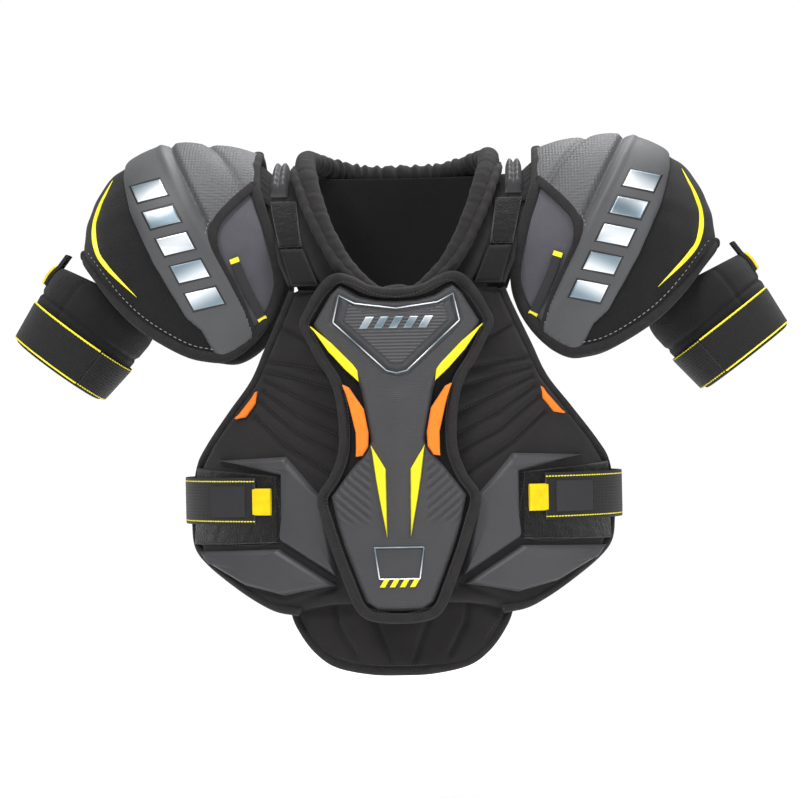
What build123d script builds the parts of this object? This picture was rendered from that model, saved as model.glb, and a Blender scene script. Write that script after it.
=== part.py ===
from build123d import *
import os
from math import asin, cos, degrees, radians, sin, tan

# Hockey shoulder pads, senior size. Millimetres. +X is the wearer's left, the front faces -Y,
# +Z is up, and the origin is midway between the shoulders at the height they bear on.

# ---- body form: ellipses whose half width and half depth grow steadily downwards
FORM_HALF_WIDTH = 150.0
FORM_HALF_DEPTH = 84.0
WIDTH_PER_DROP = 0.15
DEPTH_PER_DROP = 0.105
FORM_TOP = -60.0
FORM_BOTTOM = -500.0
FRONT = 1
BACK = -1
REACH = 260.0

# ---- layers, as distances out from the body form
LINER = 1.0
PANEL = 14.0
OVERLAY = 14.3
PATCH = 16.5
STRAP_IN = 17.0
STRAP_OUT = 20.0
FACET = 21.0
PLATE_IN = 22.6
PLATE = 30.0
BINDING_OUT = 33.0
TRIM = 31.5
CLEAR = 0.3

# ---- sternum plate
STERNUM_BINDING = 9.5

# ---- belly pad, which tucks in behind the chest panel
BELLY_TOP = -405.0
BELLY_BOTTOM = -487.5
BELLY_IN = -14.0
BELLY_OUT = -1.0

# ---- waist strap, a band 46 mm wide
WAIST_TOP = -298.0
WAIST_BOTTOM = -344.0
WAIST_SPLIT = -20.0
WAIST_END = 140.0
TAB_END = 120.0

# ---- shoulder arch: an elliptical hoop over each shoulder, seen from the side
ARCH_CENTRE = -115.0
ARCH_DEPTH = 98.0
ARCH_RISE = 114.0
ARCH_THICK = 12.0

# ---- shoulder cap: a dome about an axis along X, with flaps that hang below it
CAP_X = 208.0
CAP_Z = -72.0
CAP_RADIUS = 107.0
CAP_BACK_RADIUS = 179.0
CAP_START = 108.0
CAP_THICK = 8.0
CAP_LINER = 4.0
CAP_DROP = 112.0
CAP_LEAN = 14.0
CAP_BINDING = 11.0

# ---- arm guard: a tapered sleeve about the upper arm
ARM_ANGLE = 53.0
ARM_X = 257.0
GUARD_TOP = 59.0
GUARD_END = 146.0
GUARD_RADIUS = 62.0
GUARD_END_RADIUS = 52.0
GUARD_THICK = 8.5
TONGUE_TOP = 20.0
BAND_TOP = 102.0
BAND_BOTTOM = 143.0
BAND_THICK = 3.0
TAIL_START = 22.0
TAIL_END = 120.0
BAND_LAST = 335.0

os.makedirs("parts", exist_ok=True)


def save(name, part):
    """Label one finished piece and write it."""
    part.label = name
    export_step(part, f"parts/{name}.step")


def save_pair(name, part):
    """Write a piece for the wearer's left side, and its mirror image for the right."""
    save(f"{name}_left", part)
    save(f"{name}_right", mirror(part, about=Plane.YZ))


# ---------------------------------------------------------------- pieces that follow the body
def form_solid(gap):
    """The body form grown by gap, a ruled loft between its top and bottom ellipses."""
    with BuildPart() as form:
        for height in (FORM_BOTTOM, FORM_TOP):
            with BuildSketch(Plane.XY.offset(height)):
                Ellipse(
                    FORM_HALF_WIDTH - WIDTH_PER_DROP * height + gap,
                    FORM_HALF_DEPTH - DEPTH_PER_DROP * height + gap,
                )
        loft(ruled=True)
    return form.part


def panel(points, inner, outer, facing=FRONT, corner=4.0, both_sides=False, rim=None):
    """A panel between two grown forms, cut to an outline in X and Z.

    An outline on both sides is given as its +X half, from top to bottom. rim is None for the
    whole outline, "inside" for what a binding leaves, and "border" for the binding itself."""
    thick = form_solid(outer)
    hollow = form_solid(inner)
    with BuildPart() as piece:
        with BuildSketch(Plane.XZ):
            with BuildLine():
                FilletPolyline(*points, radius=corner, close=not both_sides)
                if both_sides:
                    mirror(about=Plane.YZ)
            make_face()
            if rim == "inside":
                offset(amount=-STERNUM_BINDING, mode=Mode.REPLACE)
            if rim == "border":
                offset(amount=-STERNUM_BINDING, mode=Mode.SUBTRACT)
        extrude(amount=facing * REACH)
        add(thick, mode=Mode.INTERSECT)
        add(hollow, mode=Mode.SUBTRACT)
    return piece.part


CHEST = [
    (0, -148), (38, -133), (64, -118), (104, -117), (112, -135), (130, -172), (145, -204), (170, -235),
    (195, -268), (207, -290), (210, -345), (203, -372), (167, -400), (128, -423), (98, -429), (50, -422),
    (0, -420),
]
save("chest_panel", panel(CHEST, LINER, PANEL, corner=5, both_sides=True))

RIB_UPPER = [(177, -281), (110, -278), (72, -321), (60, -395), (114.5, -360), (114.5, -296)]
save_pair("rib_facet_upper", panel(RIB_UPPER, OVERLAY, FACET))

RIB_LOWER = [(62, -402), (117, -367), (198, -370), (190, -381), (150, -403), (113, -412)]
save_pair("rib_facet_lower", panel(RIB_LOWER, OVERLAY, FACET, corner=3))

LOOP_PATCH = [(117, -297), (117, -361), (204, -364), (203, -289)]
save_pair("loop_patch", panel(LOOP_PATCH, OVERLAY, PATCH, corner=7))

SIDE_INSERT = [(138, -214), (161, -241), (150, -239), (140, -226)]
save_pair("side_insert", panel(SIDE_INSERT, OVERLAY, PATCH, corner=2))

BELLY = [(0, BELLY_TOP), (107, BELLY_TOP), (105, -436), (86, -465), (58, -482), (0, BELLY_BOTTOM)]
save("belly_pad", panel(BELLY, BELLY_IN, BELLY_OUT, corner=6, both_sides=True))

# ---------------------------------------------------------------- sternum plate and its trims
STERNUM = [
    (0, -120), (50, -105), (84, -152), (58, -200), (49, -240), (50, -278), (71, -319), (58, -366),
    (47, -397), (30, -430), (0, -434),
]
STERNUM_PLATE = dict(corner=6, both_sides=True)
save("sternum_plate", panel(STERNUM, PLATE_IN, PLATE, rim="inside", **STERNUM_PLATE))
save("sternum_binding", panel(STERNUM, PLATE_IN, BINDING_OUT, rim="border", **STERNUM_PLATE))

STERNUM_FOAM = [(0, -150), (40, -136), (62, -154), (40, -200), (34, -280), (44, -325), (26, -410), (0, -415)]
save("sternum_foam", panel(STERNUM_FOAM, OVERLAY, PLATE_IN - 0.1, both_sides=True))

INSET = [(0, -131), (44, -117), (58, -148), (10, -196), (0, -198)]
save("sternum_inset", panel(INSET, PLATE + 0.1, TRIM, corner=3, both_sides=True))


def trim_bars(count, pitch, width, slant, low, high, thick_to):
    """A row of slanted bars on the sternum plate, centred on X = 0."""
    thick = form_solid(thick_to)
    hollow = form_solid(TRIM + 0.1 if high > -200 else PLATE + 0.1)
    with BuildPart() as bars:
        for i in range(count):
            x = (i - (count - 1) / 2) * pitch
            with BuildSketch(Plane.XZ):
                with BuildLine():
                    Polyline(
                        (x - width / 2 - slant, low), (x + width / 2 - slant, low),
                        (x + width / 2 + slant, high), (x - width / 2 + slant, high), close=True,
                    )
                make_face()
            extrude(amount=REACH)
        add(thick, mode=Mode.INTERSECT)
        add(hollow, mode=Mode.SUBTRACT)
    return bars.part


save("sternum_emblem", trim_bars(3, 22, 14, 3, -156, -143, TRIM + 1.6))
save("model_badge", trim_bars(4, 9, 6, 1.5, -404, -396, TRIM + 0.6))


def trim_pair(points, outer):
    """A flat trim on the sternum plate and its mirror image, as one node of two solids."""
    left = panel(points, PLATE + 0.1, outer, corner=0.8)
    with BuildPart() as pair:
        add(left)
        mirror(about=Plane.YZ)
    return pair.part


save("upper_blades", trim_pair([(71, -153), (68, -160), (40, -203), (36, -200)], TRIM))
save("lower_blades", trim_pair([(26, -267), (19, -294), (16, -355), (12, -294)], TRIM))
save("orange_inserts", trim_pair([(38, -214), (37, -246), (38, -276), (30, -262), (28, -244)], BINDING_OUT))

# ---------------------------------------------------------------- waist straps
def waist_band(facing, near, far):
    """A length of the waist strap between two X values, on the front or the back of the form."""
    outline = [(near, WAIST_TOP), (far, WAIST_TOP), (far, WAIST_BOTTOM), (near, WAIST_BOTTOM)]
    return panel(outline, STRAP_IN, STRAP_OUT, facing=facing, corner=1)


front_band = waist_band(FRONT, WAIST_END, 240)
with BuildPart() as free_strap:
    add(front_band)
    split(bisect_by=Plane.XZ.offset(-WAIST_SPLIT), keep=Keep.TOP)
save_pair("waist_strap", free_strap.part)

with BuildPart() as side_strap:
    add(front_band)
    split(bisect_by=Plane.XZ.offset(-WAIST_SPLIT - 1), keep=Keep.BOTTOM)
    add(waist_band(BACK, 150, 240))
save_pair("waist_strap_rear", side_strap.part)

TAB = [(WAIST_END - 0.4, -309), (TAB_END, -309), (TAB_END, -335), (WAIST_END - 0.4, -335)]
save_pair("waist_tab", panel(TAB, STRAP_IN, STRAP_OUT - 1, corner=2))

# ---------------------------------------------------------------- back
BACK_PANEL = [
    (0, -116), (86, -116), (112, -140), (140, -190), (165, -240), (182, -290), (185, -350), (150, -396),
    (90, -426), (0, -438),
]
save("back_panel", panel(BACK_PANEL, LINER, PANEL, facing=BACK, corner=8, both_sides=True))

SPINE = [(0, -128), (38, -128), (46, -200), (36, -300), (30, -395), (0, -410)]
save("spine_plate", panel(SPINE, OVERLAY, FACET, facing=BACK, corner=8, both_sides=True))

with BuildPart() as back_liner:
    with BuildSketch(Plane.YZ):
        with BuildLine():
            Polyline((86, -115.5), (98, -115.5), (86, -14), (74, -14), close=True)
        make_face()
    extrude(amount=78, both=True)
    fillet(back_liner.edges().filter_by(Axis.X), radius=2)
save("back_liner", back_liner.part)


# ---------------------------------------------------------------- shoulder arches and their pads
def arch_layer(inner, outer, front_outline, back_outline):
    """A length of the hoop over the shoulder between two offsets, cut to an outline on each side."""
    halves = []
    for facing, outline in ((FRONT, front_outline), (BACK, back_outline)):
        if outline is None:
            continue
        with BuildPart() as hoop:
            with BuildSketch(Plane.YZ) as section:
                with Locations((0, ARCH_CENTRE)):
                    Ellipse(ARCH_DEPTH + outer, ARCH_RISE + outer)
                    Ellipse(ARCH_DEPTH + inner, ARCH_RISE + inner, mode=Mode.SUBTRACT)
            extrude(amount=REACH)
            with BuildSketch(Plane.XZ):
                with BuildLine():
                    FilletPolyline(*outline, radius=3, close=True)
                make_face()
            extrude(amount=facing * REACH, mode=Mode.INTERSECT)
        halves.append(hoop.part)
    with BuildPart() as layer:
        for half in halves:
            add(half)
    return layer.part


ARCH_FRONT = [(82, 20), (132, 20), (130, -30), (118, -80), (106, -114), (66, -114), (80, -88), (93, -52), (96, -14)]
ARCH_BACK = [(82, 20), (132, 20), (130, -30), (118, -80), (106, -114), (80, -114), (80, -20)]
save_pair("shoulder_arch", arch_layer(-ARCH_THICK, 0, ARCH_FRONT, ARCH_BACK))

YOKE_FRONT = [(107, 40), (126, 40), (126, -20), (122, -25), (108, -20)]
save_pair("yoke_pad", arch_layer(CLEAR, 15, YOKE_FRONT, YOKE_FRONT))

CLAVICLE_STRAP = [(98, -28), (124, -28), (114, -74), (92, -74)]
save_pair("clavicle_strap", arch_layer(CLEAR, 3.5, CLAVICLE_STRAP, None))

CLAVICLE_PAD = [(91, -76), (113, -76), (102, -112), (76, -112)]
save_pair("clavicle_pad", arch_layer(CLEAR, 6, CLAVICLE_PAD, None))

# ---------------------------------------------------------------- collar, a roll round the neck opening
COLLAR_RADIUS = 11.0
COLLAR_HALF = [
    (22, -101, -122), (52, -96, -92), (74, -82, -50), (88, -50, -4), (91, -6, 15), (86, 34, 16),
    (66, 64, 10), (34, 79, 4),
]


def round_corners(points):
    """The largest tangent arc at each inner corner: 0.45 of its shorter run over tan of half its turn."""
    corners = [Vector(*point) for point in points]
    radii = []
    for before, here, after in zip(corners, corners[1:], corners[2:]):
        arriving = here - before
        leaving = after - here
        turn = radians(arriving.get_angle(leaving))
        radii.append(0.45 * min(arriving.length, leaving.length) / tan(turn / 2))
    return radii


collar_points = [(0, -101, -122)] + COLLAR_HALF + [(0, 79, 4)]
with BuildPart() as collar:
    with BuildLine():
        FilletPolyline(*collar_points, radius=round_corners(collar_points))
    with BuildSketch(Plane(origin=collar_points[0], z_dir=(1, 0, 0))):
        Circle(COLLAR_RADIUS)
    sweep()
    mirror(about=Plane.YZ)
save("collar_roll", collar.part)


# ---------------------------------------------------------------- shoulder caps
def dome_plan(inset, height, whole):
    """Plan of the cap at one height: a quarter circle outside and a flatter arc towards the neck."""
    flat_radius = CAP_BACK_RADIUS - inset
    flat_angle = degrees(asin((CAP_X - CAP_START) / flat_radius))
    with BuildSketch(Plane.XY.offset(height)) as plan:
        with BuildLine():
            outside = CenterArc((CAP_X, 0), CAP_RADIUS - inset, 0, 90)
            flatter = CenterArc((CAP_X, CAP_RADIUS - CAP_BACK_RADIUS), flat_radius, 90, flat_angle)
            Polyline(flatter @ 1, (CAP_START, 0), outside @ 0)
        make_face()
        if whole:
            mirror(about=Plane.XZ)
    return plan.sketch


def dome_solid(inset):
    """The cap's outer form taken in by inset: half a dome above, and leaning walls below."""
    half_plan = dome_plan(inset, CAP_Z, False)
    top_plan = dome_plan(inset, CAP_Z, True)
    low_plan = dome_plan(inset + CAP_LEAN, CAP_Z - CAP_DROP, True)
    with BuildPart() as dome:
        revolve(half_plan, axis=Axis((0, 0, CAP_Z), (1, 0, 0)), revolution_arc=180)
        loft([top_plan.face(), low_plan.face()], ruled=True)
    return dome.part


def cap_layer(inner, outer, points, corner=6.0, rim=None, facing=None):
    """A layer of the cap between two insets, cut to an outline in X and Z."""
    thick = dome_solid(outer)
    hollow = dome_solid(inner)
    with BuildPart() as layer:
        with BuildSketch(Plane.XZ):
            with BuildLine():
                FilletPolyline(*points, radius=corner, close=True)
            make_face()
            if rim == "inside":
                offset(amount=-CAP_BINDING, mode=Mode.REPLACE)
            if rim == "border":
                offset(amount=-CAP_BINDING, mode=Mode.SUBTRACT)
        if facing:
            extrude(amount=facing * REACH)
        else:
            extrude(amount=REACH, both=True)
        add(thick, mode=Mode.INTERSECT)
        add(hollow, mode=Mode.SUBTRACT)
    return layer.part


CAP_HEM = [
    (135, 70), (135, -14), (121, -70), (116, -108), (135, -153), (152, -174), (172, -181), (205, -174),
    (255, -142), (300, -93), (319, -66), (350, -40), (350, 70),
]
save_pair("cap_shell", cap_layer(CAP_THICK, 0, CAP_HEM, rim="inside"))
save_pair("cap_binding", cap_layer(CAP_THICK + 1, 0, CAP_HEM, rim="border"))
CAP_LINER_OUTLINE = [(150, 60), (150, -40), (160, -120), (205, -140), (250, -110), (285, -60), (300, 60)]
save_pair("cap_liner", cap_layer(CAP_THICK + CAP_LINER, CAP_THICK + 0.1, CAP_LINER_OUTLINE))
KNIT = [(262, 40), (268, 5), (272, -50), (262, -108), (250, -128), (278, -104), (300, -78), (330, -50), (330, 40)]
save_pair("cap_knit_panel", cap_layer(-0.1, -1.5, KNIT, corner=3))
FRONT_PANEL = [(136, -30), (158, -52), (166, -70), (142, -118), (130, -134), (126, -108), (130, -66)]
save_pair("cap_front_panel", cap_layer(-0.1, -1.5, FRONT_PANEL, corner=4, facing=FRONT))


def slanted_bar(low, high, width):
    """Corners of one bar of the cap emblem, from its low end to its high end."""
    return [(low[0], low[1]), (low[0] + width, low[1] + 4), (high[0] + width, high[1] + 4), (high[0], high[1])]


emblem_bars = [
    cap_layer(-0.1, -2.0, slanted_bar((x, x - 304), (x + 12, x - 280), 24), corner=1.5, facing=FRONT)
    for x in (172, 196, 220)
]
with BuildPart() as emblem:
    for bar in emblem_bars:
        add(bar)
save_pair("cap_emblem", emblem.part)

# ---------------------------------------------------------------- arm guards
ARM_DIRECTION = (cos(radians(ARM_ANGLE)), 0, -sin(radians(ARM_ANGLE)))
ARM_OUTWARD = (sin(radians(ARM_ANGLE)), 0, cos(radians(ARM_ANGLE)))
ARM_SIDE = Plane(origin=(ARM_X, 0, CAP_Z), x_dir=ARM_DIRECTION, z_dir=(0, -1, 0))
ARM_ACROSS = Plane(origin=(ARM_X, 0, CAP_Z), x_dir=ARM_OUTWARD, z_dir=ARM_DIRECTION)
ARM_AXIS = Axis((ARM_X, 0, CAP_Z), ARM_DIRECTION)
TAPER = (GUARD_END_RADIUS - GUARD_RADIUS) / (GUARD_END - GUARD_TOP)


def guard_radius(along):
    """Outer radius of the guard at a distance along the arm."""
    return GUARD_RADIUS + TAPER * (along - GUARD_TOP)


def sleeve(start, end, inner, outer):
    """A tapered tube about the arm between two offsets from the guard's outer surface."""
    with BuildPart() as tube:
        with BuildSketch(ARM_SIDE):
            with BuildLine():
                Polyline(
                    (start, guard_radius(start) + inner), (start, guard_radius(start) + outer),
                    (end, guard_radius(end) + outer), (end, guard_radius(end) + inner), close=True,
                )
            make_face()
        revolve(axis=ARM_AXIS)
    return tube.part


def arc_of_sleeve(tube, first, last):
    """The stretch of a tube between two angles, from outwards (0) over the front (90)."""
    middle = radians((first + last) / 2)
    corners = [(0, 0)]
    for i in range(5):
        angle = radians(first + (last - first) * i / 4)
        corners.append((200 * cos(angle), 200 * sin(angle)))
    with BuildPart() as arc:
        with BuildSketch(ARM_ACROSS):
            with BuildLine():
                Polyline(*corners, close=True)
            make_face()
        extrude(amount=GUARD_END + 20)
        add(tube, mode=Mode.INTERSECT)
    return arc.part


tongue = arc_of_sleeve(sleeve(TONGUE_TOP, GUARD_TOP + 1, -GUARD_THICK, 0), 134, 226)
with BuildPart() as guard:
    add(sleeve(GUARD_TOP, GUARD_END, -GUARD_THICK, 0))
    add(tongue)
save_pair("bicep_guard", guard.part)

band = sleeve(BAND_TOP, BAND_BOTTOM, CLEAR, CLEAR + BAND_THICK)
save_pair("bicep_strap", arc_of_sleeve(band, TAIL_START, TAIL_END))
save_pair("bicep_strap_base", arc_of_sleeve(band, TAIL_END + 1, BAND_LAST))

connector_tube = sleeve(46, 84, CLEAR, CLEAR + 2.5)
save_pair("bicep_connector", arc_of_sleeve(connector_tube, -15, 15))
tab_tube = sleeve(62, 84, CLEAR + 2.6, CLEAR + 4.4)
save_pair("bicep_tab", arc_of_sleeve(tab_tube, -2, 9))
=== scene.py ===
"""Looks of a pair of hockey shoulder pads: soft panels, moulded caps, straps, trims and the studio."""

import bmesh
import bpy
import numpy as np
from bpy.props import FloatProperty, FloatVectorProperty, PointerProperty
from mathutils import Matrix, Vector


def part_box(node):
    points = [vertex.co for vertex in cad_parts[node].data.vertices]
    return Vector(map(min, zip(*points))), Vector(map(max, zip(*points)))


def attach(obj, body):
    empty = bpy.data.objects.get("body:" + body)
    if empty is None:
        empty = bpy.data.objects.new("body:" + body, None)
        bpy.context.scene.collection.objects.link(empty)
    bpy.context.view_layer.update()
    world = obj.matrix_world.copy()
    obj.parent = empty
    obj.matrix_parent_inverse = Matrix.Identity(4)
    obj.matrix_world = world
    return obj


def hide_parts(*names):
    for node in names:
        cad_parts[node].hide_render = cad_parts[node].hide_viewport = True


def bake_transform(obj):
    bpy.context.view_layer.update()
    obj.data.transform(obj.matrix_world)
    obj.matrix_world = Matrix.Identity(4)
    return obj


bl_info = {
    "name": "Hockey shoulder pads",
    "version": (1, 0, 0),
    "blender": (4, 5, 0),
    "location": "View3D > Sidebar > Shoulder pads",
    "description": "Builds padded fabric, moulded caps, straps and trims on the shoulder pads' frame",
    "category": "Add Mesh",
}

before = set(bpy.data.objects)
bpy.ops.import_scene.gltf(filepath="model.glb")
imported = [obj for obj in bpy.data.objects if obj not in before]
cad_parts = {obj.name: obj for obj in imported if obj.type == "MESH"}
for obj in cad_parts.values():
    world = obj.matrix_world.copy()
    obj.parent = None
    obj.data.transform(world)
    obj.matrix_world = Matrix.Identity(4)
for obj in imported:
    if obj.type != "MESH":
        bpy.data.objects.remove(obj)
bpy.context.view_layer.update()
MM = 0.001
SIDES = {"left": 1.0, "right": -1.0}

# Forms that the panels, arches, caps and sleeves follow, in millimetres.
FORM_WIDTH, WIDTH_PER_DROP = 150.0, 0.15
FORM_DEPTH, DEPTH_PER_DROP = 84.0, 0.105
ARCH_CENTRE, ARCH_DEPTH, ARCH_RISE = -115.0, 98.0, 114.0
CAP_X, CAP_Z, CAP_RADIUS, CAP_BACK_RADIUS = 208.0, -72.0, 107.0, 179.0
CAP_DROP, CAP_LEAN = 112.0, 14.0
BAND_TILT = np.radians(26.7)
ARM_ANGLE, ARM_X = np.radians(53.0), 257.0
GUARD_TOP, GUARD_END, GUARD_RADIUS, GUARD_END_RADIUS = 59.0, 146.0, 62.0, 52.0
GUARD_WALL, BAND_ALONG, BAND_WIDTH = 8.4, 122.5, 41.0
WAIST_Z, WAIST_WIDTH, WAIST_GAP, WAIST_FOLD = -321.0, 46.0, 18.5, 1.418
LAYER = 14.0
GROOVE_ACROSS, BAR_ACROSS = 185.5, 222.0


# ------------------------------------------------------------------------------ numbers
def ease(low, high, value):
    """0 below low, 1 above high, and a smooth S between them."""
    t = np.clip((value - low) / (high - low), 0, 1)
    return t * t * (3 - 2 * t)


def round_edge(edge, width):
    """Quarter-round rise from 0 at the edge to 1 at width from it."""
    t = np.clip(edge / width, 0, 1)
    return np.sqrt(np.clip(1 - (1 - t) ** 2, 0, 1))


def waves(x, y, z, size, seed=0):
    """Smooth uneven waves near -1 to 1: a sum of sines of mixed directions, size apart."""
    rng = np.random.default_rng(seed)
    total = np.zeros_like(x, dtype=float)
    for _ in range(7):
        direction = rng.normal(size=3)
        direction *= rng.uniform(0.6, 1.5) * 2 * np.pi / size / np.linalg.norm(direction)
        total += np.sin(direction[0] * x + direction[1] * y + direction[2] * z + rng.uniform(0, 6.28))
    return total / 3.2


def curve_through(points, count, closed=False):
    """Catmull-Rom curve through the points, resampled evenly to count points."""
    p = np.asarray(points, dtype=float)
    n = len(p)
    ends = (p, p[:1]) if closed else (p,)
    padded = np.concatenate([p[-1:], *ends, p[1:2]]) if closed else np.concatenate(
        [2 * p[:1] - p[1:2], p, 2 * p[-1:] - p[-2:-1]])
    spans = n if closed else n - 1
    t = np.linspace(0, 1, 40, endpoint=False)[None, :, None]
    a, b, c, d = (padded[k:k + spans][:, None] for k in range(4))
    fine = 0.5 * (2 * b + (c - a) * t + (2 * a - 5 * b + 4 * c - d) * t ** 2
                  + (3 * b - a - 3 * c + d) * t ** 3)
    fine = np.concatenate([fine.reshape(-1, p.shape[1]), p[:1] if closed else p[-1:]])
    return resample(fine, count, closed)


def corners_through(points, count, closed=False):
    """Straight runs through the points, resampled evenly to count points."""
    p = np.asarray(points, dtype=float)
    return resample(np.concatenate([p, p[:1]]) if closed else p, count, closed)


def resample(fine, count, closed):
    """Even spacing along a fine polyline; a closed one leaves its last point out."""
    run = np.concatenate([[0], np.cumsum(np.linalg.norm(np.diff(fine, axis=0), axis=1))])
    at = np.linspace(0, run[-1], count, endpoint=not closed)
    return np.stack([np.interp(at, run, fine[:, k]) for k in range(fine.shape[1])], axis=1)


def distance_to(x, z, lines):
    """Shortest distance in the X Z plane from each point to any of the polylines."""
    best = np.full(x.shape, 1e9)
    for line in lines:
        for (ax, az), (bx, bz) in zip(line, line[1:]):
            dx, dz = bx - ax, bz - az
            t = np.clip(((x - ax) * dx + (z - az) * dz) / (dx * dx + dz * dz), 0, 1)
            best = np.minimum(best, np.hypot(x - ax - t * dx, z - az - t * dz))
    return best


def inside(x, z, outline):
    """True where a point is within a closed outline: an odd number of edges lie to its right."""
    hit = np.zeros(x.shape, dtype=bool)
    px, pz = np.asarray(outline, dtype=float).T
    for ax, az, bx, bz in zip(px, pz, np.roll(px, -1), np.roll(pz, -1)):
        crosses = (az > z) != (bz > z)
        hit ^= crosses & (x < (bx - ax) * (z - az) / (bz - az + 1e-12) + ax)
    return hit


def step_along(path, closed):
    """Unit tangents of a path."""
    if closed:
        d = np.roll(path, -1, axis=0) - np.roll(path, 1, axis=0)
    else:
        d = np.gradient(path, axis=0)
    return d / np.maximum(np.linalg.norm(d, axis=1, keepdims=True), 1e-9)


# ------------------------------------------------------------------------------ forms
def on_body(x, z, gap, ref, back=False):
    """Point over the body ellipse grown by gap, where x is read on the ellipse grown by ref."""
    width, depth = FORM_WIDTH - WIDTH_PER_DROP * z, FORM_DEPTH - DEPTH_PER_DROP * z
    s = np.clip(x / (width + ref), -0.998, 0.998)
    y = (depth + gap) * np.sqrt(1 - s * s)
    return np.stack(np.broadcast_arrays((width + gap) * s, y if back else -y, z), axis=-1)


def on_arch(x, turn, gap):
    """Point on the shoulder hoop: turn runs from the front foot (0) over the top to the back (pi)."""
    y = -(ARCH_DEPTH + gap) * np.cos(turn)
    z = ARCH_CENTRE + (ARCH_RISE + gap) * np.sin(turn)
    return np.stack(np.broadcast_arrays(x, y, z), axis=-1)


def cap_reach(x, lift):
    """Distance of the cap's surface from its axis: a circle outside, a flatter arc to the neck."""
    outer = np.sqrt(np.clip((CAP_RADIUS + lift) ** 2 - (x - CAP_X) ** 2, 0, None))
    flat = CAP_RADIUS - CAP_BACK_RADIUS + np.sqrt((CAP_BACK_RADIUS + lift) ** 2 - np.clip(CAP_X - x, 0,
                                                                                          None) ** 2)
    return np.where(x > CAP_X, outer, flat)


def on_cap(x, z, lift, back=False):
    """Point of the cap over an X Z place: a turned dome above its axis, leaning walls below it."""
    reach = cap_reach(x, lift)
    above = np.sqrt(np.clip(reach ** 2 - (z - CAP_Z) ** 2, 0, None))
    below = np.clip(reach - CAP_LEAN * (CAP_Z - z) / CAP_DROP, 0, None)
    y = np.where(z > CAP_Z, above, below)
    return np.stack(np.broadcast_arrays(x, y if back else -y, z), axis=-1)


def guard_reach(along):
    """Outer radius of the arm guard: a slight taper, and a tuck where it goes up under the cap."""
    taper = (GUARD_END_RADIUS - GUARD_RADIUS) / (GUARD_END - GUARD_TOP)
    tuck = np.minimum(10.0, 0.014 * np.clip(GUARD_TOP + 18 - along, 0, None) ** 2)
    return GUARD_RADIUS + taper * (along - GUARD_TOP) - tuck


def on_arm(along, turn, reach):
    """Point round the arm: turn 0 is outwards and up, and a quarter turn is the front."""
    direction = np.array([np.cos(ARM_ANGLE), 0, -np.sin(ARM_ANGLE)])
    outward = np.array([np.sin(ARM_ANGLE), 0, np.cos(ARM_ANGLE)])
    along, turn, reach = np.broadcast_arrays(along, turn, reach)
    out = (reach * np.cos(turn))[..., None] * outward + along[..., None] * direction
    out[..., 1] -= reach * np.sin(turn)
    return out + np.array([ARM_X, 0, CAP_Z])


# ------------------------------------------------------------------------------ meshes
def piece(name, grid, finish, body, replaces=(), slot=None, wrap=(False, False),
          caps=(False, False), uv=None, keep=None, solid=True, flip=False):
    """A mesh from a grid of points in millimetres, riding on a body if one is given. wrap joins the
    grid's ends, caps close its first and last rows with a fan, keep picks faces, solid turns a closed
    piece's faces outwards, and flip turns an open one's."""
    rows, cols = grid.shape[:2]
    i = np.arange(rows if wrap[0] else rows - 1)
    j = np.arange(cols if wrap[1] else cols - 1)
    ii, jj = np.meshgrid(i, j, indexing="ij")
    corner_i = np.stack([ii, ii + 1, ii + 1, ii], axis=-1).reshape(-1, 4)
    corner_j = np.stack([jj, jj, jj + 1, jj + 1], axis=-1).reshape(-1, 4)
    if keep is not None:
        chosen = keep.reshape(-1)
        corner_i, corner_j = corner_i[chosen], corner_j[chosen]
    quads = (corner_i % rows) * cols + corner_j % cols
    points = grid.reshape(-1, 3)
    faces = quads.tolist()
    for end, (want, row) in enumerate(zip(caps, (0, rows - 1))):
        if want:
            ring = row * cols + np.arange(cols)
            centre = len(points)
            points = np.concatenate([points, points[ring].mean(axis=0, keepdims=True)])
            fan = np.stack([ring, np.roll(ring, -1), np.full(cols, centre)], axis=1)
            faces += (fan[:, ::-1] if end == 0 else fan).tolist()
    if solid:
        a, b, c, d = (points[quads[:, k]] for k in range(4))
        volume = (np.einsum("ij,ij->i", a, np.cross(b, c)) + np.einsum("ij,ij->i", a, np.cross(c, d))).sum()
        flip = volume < 0
    if flip:
        faces = [face[::-1] for face in faces]
        corner_i, corner_j = corner_i[:, ::-1], corner_j[:, ::-1]
    mesh = bpy.data.meshes.new(name)
    mesh.from_pydata((points * MM).tolist(), [], faces)
    if uv is not None:
        layer = mesh.uv_layers.new(name="UVMap")
        values = np.zeros((len(mesh.loops), 2))
        along = uv[corner_i, corner_j].reshape(-1, 2) * MM
        values[:len(along)] = along
        layer.data.foreach_set("uv", values.ravel())
    used = np.zeros(len(points), dtype=bool)
    used[[v for face in faces for v in face]] = True
    if not used.all():
        drop_loose(mesh, used)
    mesh.shade_smooth()
    obj = bpy.data.objects.new(name, mesh)
    bpy.context.scene.collection.objects.link(obj)
    obj.data.materials.append(look(finish))
    if body:
        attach(obj, body)
    if replaces:
        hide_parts(*replaces)
    slot or SLOTS[finish]
    return obj


def drop_loose(mesh, used):
    """Removes the points that no face uses."""
    shape = bmesh.new()
    shape.from_mesh(mesh)
    shape.verts.ensure_lookup_table()
    bmesh.ops.delete(shape, geom=[v for v, keep in zip(shape.verts, used) if not keep], context="VERTS")
    shape.to_mesh(mesh)
    shape.free()


def modify(obj, kind, **settings):
    """Adds one modifier with its settings."""
    modifier = obj.modifiers.new(kind.title(), kind)
    for key, value in settings.items():
        setattr(modifier, key, value)
    return modifier


def mirrored(points, side):
    """The left side's points as they are, or carried over to the right."""
    return points * np.array([side, 1.0, 1.0])


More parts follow.
